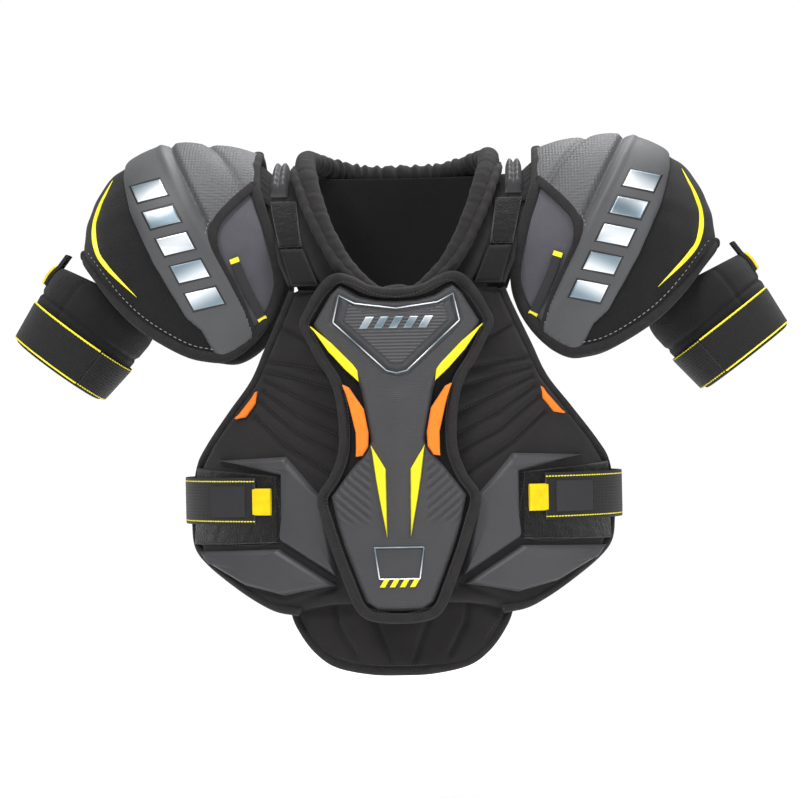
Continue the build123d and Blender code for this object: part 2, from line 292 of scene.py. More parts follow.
def ribbon(name, path, normals, profile, finish, body, closed=False, flat=False, **more):
    """A band with a closed profile of (across, out) points carried along a path. The grid's rows go
    along the path, its columns round the profile, and its UV is the run along and round it, or across
    it where the band is flat."""
    tangent = step_along(path, closed)
    out = normals - tangent * np.sum(normals * tangent, axis=1, keepdims=True)
    out /= np.maximum(np.linalg.norm(out, axis=1, keepdims=True), 1e-9)
    across = np.cross(tangent, out)
    prof = np.asarray(profile, dtype=float)
    if prof.ndim == 2:
        prof = np.broadcast_to(prof, (len(path),) + prof.shape)
    grid = path[:, None] + across[:, None] * prof[..., :1] + out[:, None] * prof[..., 1:]
    first = prof[0]
    round_run = np.concatenate([[0], np.cumsum(np.linalg.norm(np.roll(first, -1, 0) - first, axis=1))])
    if flat:
        round_run = np.append(first[:, 0], first[0, 0])
    run = np.concatenate([[0], np.cumsum(np.linalg.norm(np.diff(path, axis=0), axis=1))])
    if closed:
        run = np.append(run, run[-1] + np.linalg.norm(path[0] - path[-1]))
    uv = np.stack(np.meshgrid(run, round_run, indexing="ij"), axis=-1)
    return piece(name, grid, finish, body, wrap=(closed, True), caps=(not closed, not closed), uv=uv,
                 **more)


def pill(width, thick, count=20, square=3.2):
    """A rounded flat profile: a superellipse of the given width and thickness."""
    t = np.linspace(0, 2 * np.pi, count, endpoint=False)
    c, s = np.cos(t), np.sin(t)
    across = np.sign(c) * np.abs(c) ** (2 / square) * width / 2
    out = np.sign(s) * np.abs(s) ** (2 / square) * thick / 2
    return np.stack([across, out], axis=1)


def rows_panel(name, widths, tops, bottoms, low, height, finish, body, ref, back=False, rows=120, cols=160,
               **more):
    """A closed panel symmetrical about X = 0. Its half width follows (z, w) points, its top and bottom
    edges follow (x, z) points, and height(x, z, edge) says how thick it is over the gap low."""
    wz, ww = np.asarray(sorted(widths)).T
    tx, tz = np.asarray(sorted(tops)).T
    bx, bz = np.asarray(sorted(bottoms)).T
    u = np.sin(np.linspace(-1, 1, cols) * np.pi / 2 * 0.9) / np.sin(np.pi / 2 * 0.9)
    v = np.linspace(0, 1, rows)[:, None]
    top = np.interp(np.abs(u) * tx[-1], tx, tz)[None]
    bottom = np.interp(np.abs(u) * bx[-1], bx, bz)[None]
    z = top * (1 - v) + bottom * v
    w = np.interp(z, wz, ww)
    x = u[None] * w
    edge = np.minimum((1 - np.abs(u[None])) * w * 0.95, np.minimum(v, 1 - v) * (top - bottom) * 0.95)
    thick = height(x, z, edge)
    front = on_body(x, z, low + thick, ref, back)
    under = on_body(x, z, low, ref, back)
    grid = np.concatenate([front, under[:, ::-1]], axis=1)
    uv = np.stack(np.broadcast_arrays(np.concatenate([x, x[:, ::-1]], 1),
                                      np.concatenate([z, z[:, ::-1]], 1)), -1)
    uv = np.concatenate([uv, uv[:, :1]], axis=1)
    return closed_rows(name, grid, finish, body, uv, **more)


def closed_rows(name, grid, finish, body, uv, **more):
    """A tube of rows whose first and last rows are flat: each is closed along its middle."""
    rows, cols = grid.shape[:2]
    half = cols // 2
    start, end = grid[0].copy(), grid[-1].copy()
    start[half:] = start[:half][::-1]
    end[half:] = end[:half][::-1]
    grid = np.concatenate([start[None], grid, end[None]])
    uv = np.concatenate([uv[:1], uv, uv[-1:]])
    return piece(name, grid, finish, body, wrap=(False, True), uv=uv, **more)


def ring_panel(name, outline, centre, low, height, finish, body, ref, back=False, rings=26, side=1.0,
               surface=None,
               **more):
    """A closed panel whose rings shrink from an outline to a centre. height(x, z, edge) says how thick
    it is over the gap low, and surface places a point for x, z and gap."""
    surface = surface or (lambda x, z, gap: on_body(x, z, gap, ref, back))
    outline = np.asarray(outline, dtype=float)
    arm = outline - np.asarray(centre, dtype=float)
    tangent = step_along(outline, True)
    support = np.abs(arm[:, 0] * tangent[:, 1] - arm[:, 1] * tangent[:, 0])
    s = 1 - np.linspace(0, 1, rings) ** 1.6
    ring = np.concatenate([s[::-1], s[1:-1:max(1, rings // 5)], s[-1:]])[:, None]
    x = centre[0] + arm[None, :, 0] * ring
    z = centre[1] + arm[None, :, 1] * ring
    edge = (1 - ring) * support[None]
    thick = height(x, z, edge)
    thick[rings:] = 0
    grid = mirrored(surface(x, z, low + thick), side)
    uv = np.stack([x, z], axis=-1)
    uv = np.concatenate([uv, uv[:, :1]], axis=1)
    return merged(piece(name, grid, finish, body, wrap=(False, True), uv=uv, **more))


def merged(obj):
    """Joins the points that lie on each other, such as those of a pole."""
    shape = bmesh.new()
    shape.from_mesh(obj.data)
    bmesh.ops.remove_doubles(shape, verts=shape.verts, dist=0.00001)
    shape.to_mesh(obj.data)
    shape.free()
    return obj


# ------------------------------------------------------------------------------ materials
class Value:
    """A shader socket that does sums: each sum adds one Math node."""

    def __init__(self, finish, socket):
        self.finish, self.socket = finish, socket

    def sum(self, operation, first, second):
        return self.finish.node("ShaderNodeMath", {"operation": operation}, {0: first, 1: second})["Value"]

    def __add__(self, other):
        return self.sum("ADD", self, other)

    def __sub__(self, other):
        return self.sum("SUBTRACT", self, other)

    def __rsub__(self, other):
        return self.sum("SUBTRACT", other, self)

    def __mul__(self, other):
        return self.sum("MULTIPLY", self, other)

    def __gt__(self, other):
        return self.sum("GREATER_THAN", self, other)

    def __lt__(self, other):
        return self.sum("LESS_THAN", self, other)

    def sine(self):
        return self.sum("SINE", self, 0.0)

    def size(self):
        return self.sum("ABSOLUTE", self, 0.0)

    __radd__, __rmul__ = __add__, __mul__


class Finish:
    """One material: constants set on its shader, and values worked out by nodes."""

    def __init__(self, name, **constants):
        self.material = bpy.data.materials.new(name)
        self.material.use_nodes = True
        self.tree = self.material.node_tree
        self.shader = self.tree.nodes["Principled BSDF"]
        for key, value in constants.items():
            self.shader.inputs[key.replace("_", " ")].default_value = value

    def node(self, kind, settings=None, values=None):
        """Adds a node, sets it up, joins its inputs, and returns its outputs by name."""
        made = self.tree.nodes.new(kind)
        for key, value in (settings or {}).items():
            setattr(made, key, value)
        for key, value in (values or {}).items():
            if isinstance(value, Value):
                self.tree.links.new(value.socket, made.inputs[key])
            else:
                made.inputs[key].default_value = value
        return {out.name: Value(self, out) for out in made.outputs}

    def feed(self, name, value):
        self.tree.links.new(value.socket, self.shader.inputs[name])

    def places(self):
        """X, Y and Z in metres, in the frame of the object."""
        coordinates = self.node("ShaderNodeTexCoord")["Object"]
        parts = self.node("ShaderNodeSeparateXYZ", values={"Vector": coordinates})
        return coordinates, parts["X"], parts["Y"], parts["Z"]

    def along(self):
        """The run along a piece and the run across it, in metres, from its own UV map."""
        parts = self.node("ShaderNodeSeparateXYZ", values={"Vector": self.node("ShaderNodeUVMap")["UV"]})
        return parts["X"], parts["Y"]

    def noise(self, where, size, detail=2.0, stretch=(1, 1, 1)):
        """Noise of about 0 to 1 whose blotches are size metres across."""
        if stretch != (1, 1, 1):
            where = self.node("ShaderNodeMapping", values={"Vector": where, "Scale": stretch})["Vector"]
        return self.node("ShaderNodeTexNoise", values={"Vector": where, "Scale": 1 / size,
                                                       "Detail": detail})["Fac"]

    def blend(self, factor, first, second):
        """A colour between two others."""
        made = self.tree.nodes.new("ShaderNodeMix")
        made.data_type = "RGBA"
        for key, value in ((0, factor), (6, first), (7, second)):
            if isinstance(value, Value):
                self.tree.links.new(value.socket, made.inputs[key])
            else:
                made.inputs[key].default_value = value if key == 0 else (*value[:3], 1)
        return Value(self, made.outputs[2])

    def relief(self, height, depth):
        """Bumps of the given depth in metres."""
        made = self.node("ShaderNodeBump", values={"Height": height, "Distance": depth})
        self.feed("Normal", made["Normal"])


def tinted(colour, factor):
    """A colour made lighter or darker."""
    return tuple(min(1.0, c * factor) for c in colour)


def cloth(name, colour, weave=0.0011, depth=0.0004, blotch=0.016, contrast=0.35, rough=0.92, sheen=0.08):
    """Knitted or brushed cloth: a fine stitch in Object space, fuzz, and slow changes of shade."""
    made = Finish(name, Roughness=rough, Sheen_Weight=sheen, Sheen_Roughness=0.5, Specular_IOR_Level=0.25)
    where, x, y, z = made.places()
    turn = 2 * np.pi / weave
    stitch = ((x + y) * turn).sine() * (z * turn).sine()
    fuzz = made.noise(where, 0.0012, 3)
    shade = made.noise(where, blotch, 4)
    mix = made.blend(shade, tinted(colour, 1 - contrast), tinted(colour, 1 + contrast))
    made.feed("Base Color", made.blend(fuzz * 0.35, mix, tinted(colour, 2.0)))
    made.feed("Roughness", 1 - fuzz * 0.2)
    made.relief(stitch * 0.35 + fuzz * 1.1 + shade * 0.8, depth)
    return made.material


def tape(name, colour, rib=0.0016, depth=0.0003, rough=0.85, sheen=0.05):
    """Woven binding or webbing: ribs across the run and a finer thread along it, from the UV map."""
    made = Finish(name, Roughness=rough, Sheen_Weight=sheen, Specular_IOR_Level=0.3)
    where = made.node("ShaderNodeTexCoord")["Object"]
    run, across = made.along()
    ribs = (run * (2 * np.pi / rib)).sine()
    thread = (across * (2 * np.pi / (rib * 0.7))).sine()
    wear = made.noise(where, 0.010, 4)
    fuzz = made.noise(where, 0.0009, 2)
    base = made.blend(wear, tinted(colour, 0.65), tinted(colour, 1.45))
    made.feed("Base Color", made.blend((ribs * 0.5 + 0.5) * 0.3, base, tinted(colour, 1.9)))
    made.feed("Roughness", 0.95 - wear * 0.2)
    made.relief(ribs * 0.5 + thread * 0.3 + fuzz * 0.7, depth)
    return made.material


def lined_webbing(name, colour, line, width, inset):
    """Webbing with a thin coloured line stitched along each edge. Its UV runs across in metres."""
    made = Finish(name, Roughness=0.85, Sheen_Weight=0.12, Specular_IOR_Level=0.3)
    where = made.node("ShaderNodeTexCoord")["Object"]
    run, across = made.along()
    ribs = (across * (2 * np.pi / 0.0030)).sine()
    weave = (run * (2 * np.pi / 0.0024)).sine()
    wear = made.noise(where, 0.009, 4)
    base = made.blend(wear, tinted(colour, 0.6), tinted(colour, 1.6))
    cloth_colour = made.blend((ribs * 0.5 + 0.5) * 0.25, base, tinted(colour, 2.2))
    middle = (across.size() - (width / 2 - inset)).size()
    dash = ((run * (2 * np.pi / 0.0035)).sine() > -0.75)
    mask = (middle < 0.00055) * dash
    made.feed("Base Color", made.blend(mask, cloth_colour, line))
    made.relief(ribs * 0.6 + weave * 0.3 + mask * 1.5, 0.00016)
    return made.material


def moulded(name, colour, grain=0.0016, depth=0.00022, rough=0.55, pattern="pebble", dimples_before=None):
    """Moulded foam with a fine skin. The pattern is pebble, mesh or ribs; dimples_before adds a field of
    small round dimples on the part of a cap that is nearer the neck than that distance."""
    made = Finish(name, Roughness=rough, Specular_IOR_Level=0.45, Sheen_Weight=0.05)
    where, x, _, z = made.places()
    shade = made.noise(where, 0.030, 3)
    fine = made.noise(where, 0.0011, 2)
    made.feed("Base Color", made.blend(shade * 0.7 + fine * 0.3, tinted(colour, 0.72),
                                       tinted(colour, 1.32)))
    made.feed("Roughness", (rough - 0.12) + shade * 0.2 + fine * 0.08)
    if pattern == "mesh":
        turn = 2 * np.pi / grain
        skin = ((x + z * 0.6) * turn).sine() * ((x - z * 0.6) * turn).sine()
    elif pattern == "ribs":
        skin = (z * (2 * np.pi / 0.0032)).sine() * 1.6
    else:
        cells = made.node("ShaderNodeTexVoronoi", {"feature": "F1"},
                          {"Vector": where, "Scale": 1 / grain, "Randomness": 0.8})
        skin = cells["Distance"]
    height = skin * 0.7 + fine * 0.4
    if dimples_before is not None:
        cells = made.node("ShaderNodeTexVoronoi", {"feature": "F1"},
                          {"Vector": where, "Scale": 1 / 0.0030, "Randomness": 0.15})
        band = x.size() * float(np.cos(BAND_TILT)) - z * float(np.sin(BAND_TILT))
        near = band < dimples_before * MM
        height = height + (cells["Distance"] * 3.2) * near
    made.relief(height, depth)
    return made.material


def pile(name, colour):
    """Hook-and-loop pile: short tangled loops."""
    made = Finish(name, Roughness=0.98, Sheen_Weight=0.3, Specular_IOR_Level=0.1)
    where = made.places()[0]
    loops = made.noise(where, 0.0014, 5)
    clumps = made.noise(where, 0.007, 3)
    made.feed("Base Color", made.blend(loops * 0.6 + clumps * 0.4, tinted(colour, 0.5),
                                       tinted(colour, 1.9)))
    made.relief(loops * 1.4 + clumps, 0.0008)
    return made.material


def film(name, colour, rough=0.42, metallic=0.0, contrast=0.12, size=0.012, depth=0.00008):
    """A printed or bright film with faint unevenness."""
    made = Finish(name, Roughness=rough, Metallic=metallic)
    where = made.places()[0]
    shade = made.noise(where, size, 2)
    fine = made.noise(where, 0.0008, 2)
    made.feed("Base Color", made.blend(shade, tinted(colour, 1 - contrast), tinted(colour, 1 + contrast)))
    made.feed("Roughness", (rough - 0.06) + shade * 0.12)
    made.relief(fine, depth)
    return made.material


def bright_trim(name):
    """Bright trim with a painted reflection: its base colour runs from white to a cool grey in bands along
    its slant, and brushed streaks vary its roughness.
    """
    made = Finish(name, Roughness=0.3, Metallic=0.55)
    where, x, _, z = made.places()
    # Painted reflection: bands of white and cool grey in the base colour stand in for the surroundings
    # mirrored in the chrome.
    painted_reflection = ((x.size() * 0.45 + z * 0.9) * (2 * np.pi / 0.048)).sine() * 0.5 + 0.5
    brush = made.noise(where, 0.002, 3, (1, 1, 12))
    made.feed("Base Color", made.blend(painted_reflection, (0.80, 0.83, 0.86), (0.16, 0.22, 0.26)))
    made.feed("Roughness", 0.22 + brush * 0.2)
    made.relief(brush, 0.00006)
    return made.material


def make_finishes(colours):
    """Every finish of the object, by its maker's name."""
    black, warm, grey = tuple(colours.black), tuple(colours.quilt), tuple(colours.plate)
    cap, yellow, orange = tuple(colours.cap), tuple(colours.yellow), tuple(colours.orange)
    return {
        "lining": cloth("Brushed lining", black),
        "knit": cloth("Black knit", black, weave=0.0016, depth=0.0005, contrast=0.25),
        "quilt": cloth("Quilted cloth", warm, weave=0.0009, depth=0.0003, blotch=0.024, contrast=0.28),
        "collar": cloth("Collar cloth", tinted(warm, 0.95), weave=0.0012, depth=0.0005, contrast=0.3),
        "binding": tape("Binding tape", tinted(warm, 0.95)),
        "webbing": tape("Plain webbing", tinted(black, 0.9), rib=0.0013),
        "waist": lined_webbing("Waist elastic", black, yellow, 0.046, 0.0035),
        "armband": lined_webbing("Arm band", black, yellow, 0.045, 0.0028),
        "pile": pile("Loop pile", tinted(black, 0.75)),
        "brushed": cloth("Brushed blue grey", tuple(colours.brushed), weave=0.0013, contrast=0.12,
                         sheen=0.15),
        "plate": moulded("Plate foam", grey, pattern="mesh", grain=0.0024),
        "plate_smooth": moulded("Facet foam", grey, grain=0.0013, depth=0.00015),
        "plate_ribs": moulded("Ribbed inset", grey, pattern="ribs", depth=0.0004),
        "cap": moulded("Cap foam", cap, grain=0.0015, dimples_before=185.0),
        "orange": moulded("Orange foam", orange, grain=0.002, rough=0.7),
        "yellow": film("Yellow film", yellow),
        "tab": tape("Yellow tab", (0.80, 0.50, 0.0), rib=0.0012, sheen=0.0),
        "bright": bright_trim("Bright trim"),
        "dark_trim": film("Dark trim", (0.004, 0.004, 0.005), rough=0.5),
        "thread": film("Grey thread", (0.045, 0.043, 0.045), rough=0.8, size=0.004),
        "light_thread": film("Light thread", (0.22, 0.21, 0.21), rough=0.8, size=0.004),
        "label": film("Woven label", (0.008, 0.008, 0.010), rough=0.7, size=0.003),
    }


FINISH = {}

# The slot that each finish stands for.
SLOTS = {
    "lining": "lining", "knit": "knit", "quilt": "quilt", "collar": "quilt", "binding": "binding",
    "webbing": "webbing", "waist": "webbing", "armband": "webbing", "label": "webbing", "pile": "loop",
    "brushed": "brushed_panel", "plate": "grey_foam", "plate_smooth": "grey_foam", "plate_ribs": "grey_foam",
    "cap": "cap_grey", "orange": "orange_foam", "yellow": "yellow_trim", "tab": "yellow_tab",
    "bright": "bright_trim", "dark_trim": "bright_trim",
}


# ------------------------------------------------------------------------------ outlines, in millimetres
CHEST_WIDTHS = [(-116, 104), (-135, 112), (-172, 129), (-204, 144), (-235, 168), (-268, 193), (-290, 206),
                (-320, 209),
                (-345, 210), (-372, 203), (-400, 167), (-423, 128), (-430, 98)]
CHEST_TOPS = [(0, -148), (38, -133), (64, -118), (104, -116)]
CHEST_BOTTOMS = [(0, -420), (50, -422), (98, -430)]
QUILT_LINES = [
    [(128, -186), (100, -190), (66, -196)], [(130, -196), (104, -202), (60, -214)],
    [(131, -205), (96, -222), (53, -240)], [(133, -215), (98, -240), (50, -262)],
    [(136, -226), (100, -256), (49, -282)], [(142, -240), (112, -268), (62, -300)],
    [(120, -150), (92, -165), (80, -168)], [(57, -402), (80, -412), (110, -424)], [(34, -400), (40, -419)],
]
STERNUM_EDGE = [(0, -121.5), (25, -118), (44, -108), (56, -106.5), (68, -118), (80, -140), (84, -150),
                (80, -160),
                (69, -183), (57, -204), (51, -228), (49, -258), (51, -279), (59, -300), (70, -319),
                (65, -342),
                (58, -366), (47, -397), (38, -420), (29, -430), (14, -433.5), (0, -434)]
STERNUM_WIDTHS = [(-106.5, 56), (-118, 68), (-140, 80), (-150, 84), (-160, 80), (-183, 69), (-204, 57),
                  (-228, 51),
                  (-258, 49), (-279, 51), (-300, 59), (-319, 70), (-342, 65), (-366, 58), (-397, 47),
                  (-420, 38),
                  (-433, 27)]
PLATE_WIDTHS = [(-112, 50), (-122, 60), (-150, 76), (-153, 75), (-178, 57), (-203, 37), (-215, 33),
                (-240, 29),
                (-264, 25), (-270, 27), (-283, 37), (-300, 50), (-317, 62), (-342, 57), (-366, 50),
                (-397, 39),
                (-418, 31), (-426, 20)]
PLATE_TOPS = [(0, -129), (14, -128), (28, -124), (40, -117), (50, -113)]
BELLY_WIDTHS = [(-404, 106), (-430, 106.5), (-450, 97), (-467, 83), (-479, 64), (-484, 46)]
BELLY_BOTTOMS = [(0, -487), (30, -486), (46, -484)]
BACK_WIDTHS = [(-116, 88), (-140, 110), (-190, 139), (-240, 165), (-290, 182), (-350, 184), (-396, 152),
               (-426, 92)]
BACK_BOTTOMS = [(0, -438), (50, -435), (92, -426)]
CAP_HEM = [(139, 3), (137.5, -16), (132, -36), (122, -70), (116, -105), (122, -131), (135, -153),
           (152, -170),
           (170, -179.5), (186, -179), (205, -174), (231, -160), (255, -143), (277, -121), (298, -95),
           (309, -82)]
CAP_OPENING = [(118, 0), (133, -8), (148, -20), (163, -35), (173, -47), (177.5, -60), (176, -77),
               (169, -93),
               (160, -112), (150, -136), (141, -163)]


def both_sides(half):
    """A closed outline from its X >= 0 half, which starts and ends on X = 0."""
    right = [(-x, z) for x, z in half[::-1]]
    return half + right[1:-1]


# ------------------------------------------------------------------------------ shapes on the forms
def arch_place(x, z, gap):
    """Point on the front of the shoulder hoop over an X Z place."""
    return on_arch(x, np.arcsin(np.clip((z - ARCH_CENTRE) / (ARCH_RISE + gap), -1, 1)), gap)


def body_place(back=False):
    """Places points over the body form, with X read on the outer layers' ellipse."""
    return lambda x, z, gap: on_body(x, z, gap, LAYER, back)


def patch(name, a, b, place, low, high, finish, body, scale=(1.0, 1.0), soft=4.0, relief=None, **more):
    """A closed pad over a rectangle of surface coordinates. Its top rises from low to high in a quarter
    round as wide as soft, relief(a, b) is added to it, and scale turns the coordinates into millimetres."""
    aa, bb = np.meshgrid(a, b, indexing="ij")
    ends = np.minimum(aa - a[0], a[-1] - aa) * scale[0]
    sides = np.minimum(bb - b[0], b[-1] - bb) * scale[1]
    edge = np.minimum(ends, sides)
    thick = (high - low) * round_edge(edge, soft)
    if relief is not None:
        thick = thick + relief(aa, bb) * ease(0, soft, edge)
    grid = np.concatenate([place(aa, bb, low + thick), place(aa, bb, low + 0 * thick)[:, ::-1]], axis=1)
    uv = np.stack([aa * scale[0], bb * scale[1]], axis=-1)
    uv = np.concatenate([uv, uv[:, ::-1], uv[:, :1]], axis=1)
    return closed_rows(name, grid, finish, body, uv, **more)


def trim(name, line, gap, width, thick, finish, body, place, side=1.0, closed=False, smooth=True, pitch=3.0,
         taper=None, square=3.2, **more):
    """A band laid on a surface along a line of (x, z) points. taper scales its width along the run."""
    rough = np.asarray(line, dtype=float)
    length = np.linalg.norm(np.diff(np.concatenate([rough, rough[:1]]) if closed else rough, axis=0),
                            axis=1).sum()
    count = max(8, int(length / pitch))
    flat = (curve_through if smooth else corners_through)(line, count, closed)
    path = mirrored(place(flat[:, 0], flat[:, 1], gap), side)
    out = mirrored(place(flat[:, 0], flat[:, 1], gap + 1) - place(flat[:, 0], flat[:, 1], gap - 1), side)
    profile = pill(width, thick, 16, square)
    if taper is not None:
        scale = np.interp(np.linspace(0, 1, count), np.linspace(0, 1, len(taper)), taper)
        profile = profile[None] * np.stack([scale, 0.4 + 0.6 * scale], axis=1)[:, None]
    return ribbon(name, path, out, profile, finish, body, closed, **more)


def stitches(name, lines, body, place, gap, pitch=3.6, size=(2.2, 0.8), closed=False, thread="thread"):
    """Rows of thread stitches: a small six-sided bead repeated along each line of (x, z, side) runs."""
    ring = np.linspace(0, 2 * np.pi, 6, endpoint=False)
    shape = np.array([[u, r * np.cos(a), r * np.sin(a)] for u,
                      r in ((-0.5, 0.35), (0, 0.5), (0.5, 0.35)) for a in ring])
    bead = np.concatenate([shape * [size[0], size[1], size[1]],
                           [[-size[0] * 0.62, 0, 0], [size[0] * 0.62, 0, 0]]])
    points = []
    for line, side in lines:
        rough = np.asarray(line, dtype=float)
        length = np.linalg.norm(np.diff(rough, axis=0), axis=1).sum()
        flat = curve_through(line, max(4, int(length / pitch)), closed)
        path = mirrored(place(flat[:, 0], flat[:, 1], gap), side)
        out = mirrored(place(flat[:, 0], flat[:, 1], gap + 1) - place(flat[:, 0], flat[:, 1], gap - 1),
                       side)
        tangent = step_along(path, closed)
        out = out - tangent * np.sum(out * tangent, axis=1, keepdims=True)
        out /= np.linalg.norm(out, axis=1, keepdims=True)
        frame_of = np.stack([tangent, np.cross(out, tangent), out], axis=1)
        points.append(path[:, None] + np.einsum("vk,nkc->nvc", bead, frame_of))
    points = np.concatenate(points)
    faces = (np.arange(len(points))[:, None] * 20)
    sides = np.array([(k + r, (k + 1) % 6 + r, (k + 1) % 6 + r + 6,
                       k + r + 6) for r in (0, 6) for k in range(6)])
    tips = np.array([((k + 1) % 6, k, 18) for k in range(6)] + [(k + 12, (k + 1) % 6 + 12,
                                                                 19) for k in range(6)])
    quads = (faces[:, :, None] + sides[None]).reshape(-1, 4).tolist()
    fans = (faces[:, :, None] + tips[None]).reshape(-1, 3).tolist()
    mesh = bpy.data.meshes.new(name)
    mesh.from_pydata((points.reshape(-1, 3) * MM).tolist(), [], quads + fans)
    mesh.shade_smooth()
    obj = bpy.data.objects.new(name, mesh)
    bpy.context.scene.collection.objects.link(obj)
    obj.data.materials.append(look(thread))
    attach(obj, body)
    return obj


def look(name):
    """A finish by its name; all of them are made at the first call."""
    if not FINISH:
        FINISH.update(make_finishes(bpy.context.scene.pad_colours))
    return FINISH[name]


def sizes():
    return bpy.context.scene.pad_sizes


def groove(x, z, lines, depth, width):
    """Sewn channel: a bell-shaped dip along the lines."""
    return -depth * np.exp(-(distance_to(x, z, lines) / width) ** 2)


# ------------------------------------------------------------------------------ torso
def chest_height(x, z, edge):
    """13 mm of padding with sewn channels, a rounded edge, and a slow unevenness."""
    ax = np.abs(x)
    quilt = groove(ax, z, QUILT_LINES, sizes().quilt_depth, 3.6)
    return 12.6 * round_edge(edge, 11) + (quilt + 0.9 * waves(x, 0 * x, z, 60, 3)) * ease(2, 12, edge)


def build_chest():
    """The quilted chest with its bound edge, seams and side inserts."""
    chest = rows_panel("chest_quilt", CHEST_WIDTHS, CHEST_TOPS, CHEST_BOTTOMS, 1.0, chest_height,
                       "quilt", "torso",
                       LAYER, rows=190, cols=230, replaces=("chest_panel",))
    half = [(104, -118), (112, -137), (129, -173), (144, -205), (168, -236), (193, -269), (205, -290),
            (208.5, -320),
            (209, -345), (202, -371), (167, -399), (128, -422), (100, -428)]
    for name, side in SIDES.items():
        trim(f"chest_edge_{name}", half, 7.6, 8.5, 14.0, "binding", "torso", body_place(), side,
             square=2.4)
        wedge = corners_through([(138, -214), (161, -241), (150, -239), (140, -226)], 60, True)
        ring_panel(f"side_wedge_{name}", wedge, (148, -231), 14.0, lambda x, z, e: 3.2 * round_edge(e, 2.5),
                   "orange", "torso", LAYER, side=side, rings=12, replaces=(f"side_insert_{name}",))
    seams = [(line, side) for side in SIDES.values() for line in QUILT_LINES[:6]]
    stitches("quilt_stitches", seams, "torso", body_place(), 9.6, pitch=3.4, size=(2.0, 0.6))
    edge = [([(x - 7.5, z) for x, z in half[4:10]], side) for side in SIDES.values()]
    stitches("chest_edge_stitches", edge, "torso", body_place(), 12.6, pitch=3.6, size=(2.0, 0.6))


def build_ribs():
    """Two facets and a loop patch on each side of the ribs."""
    upper = [(177, -281), (110, -278), (72, -321), (60, -395), (114.5, -360), (114.5, -296)]
    lower = [(62, -402), (117, -367), (198, -370), (190, -381), (150, -403), (113, -412)]
    loop = [(117, -297), (117, -361), (204, -364), (203, -289)]
    for name, side in SIDES.items():
        for label, outline, centre in (("upper", upper, (105, -292)), ("lower", lower, (140, -388))):
            facet = ring_panel(f"rib_foam_{label}_{name}", corners_through(outline, 220, True), centre,
                               11.0, lambda x, z, e: 9.6 * round_edge(e, 5.0) + 0.5 * ease(6, 14, e),
                               "plate_smooth",
                               "torso", LAYER, side=side, rings=30, replaces=(f"rib_facet_{label}_{name}",))
        ring_panel(f"loop_pile_{name}", corners_through(loop, 200, True), (160, -328), 12.0,
                   lambda x, z, e: 4.4 * round_edge(e, 1.6) + 0.25 * waves(x, 0 * x, z, 9, 4), "pile",
                   "torso",
                   LAYER, side=side, rings=34, replaces=(f"loop_patch_{name}",))
    frames = [([(119.5, -299.5), (119.5, -358.5), (200, -361.5)], side) for side in SIDES.values()]
    stitches("loop_patch_stitches", frames, "torso", body_place(), 16.6, pitch=3.2, size=(1.9, 0.6))


def belly_height(x, z, edge):
    """13 mm of padding with two channels a side that run down towards the middle."""
    lines = [[(34, -407), (28, -430), (18, -458), (12, -476)], [(66, -407), (62, -440), (46, -470)]]
    return 12.6 * round_edge(edge, 10) + (groove(np.abs(x), z, lines, 3.2, 3.2)
                                          + 0.7 * waves(x, 0 * x, z, 44, 8)) * ease(2, 10, edge)


def build_belly():
    """The belly pad with its bound lower edge."""
    belly = rows_panel("belly_quilt", BELLY_WIDTHS, [(0, -404.5), (106, -404.5)], BELLY_BOTTOMS, -14.0,
                       belly_height,
                       "quilt", "belly", -1.0, rows=90, cols=220, replaces=("belly_pad",))
    edge = [(106, -406), (105.5, -430), (96, -450), (82, -467), (63, -479), (30, -485.5), (0, -486.5)]
    edge = edge + [(-x, z) for x, z in edge[-2::-1]]
    trim("belly_edge", edge, -7.6, 8.0, 13.6, "binding", "belly",
         lambda x, z, gap: on_body(x, z, gap, -1.0), square=2.4)
    inner = [(x * 0.93, z + 6 if abs(x) < 97 else z) for x, z in edge]
    stitches("belly_edge_stitches", [(inner, 1.0)], "belly", lambda x, z, gap: on_body(x, z, gap, -1.0),
             -2.2, pitch=3.6, size=(2.0, 0.6))


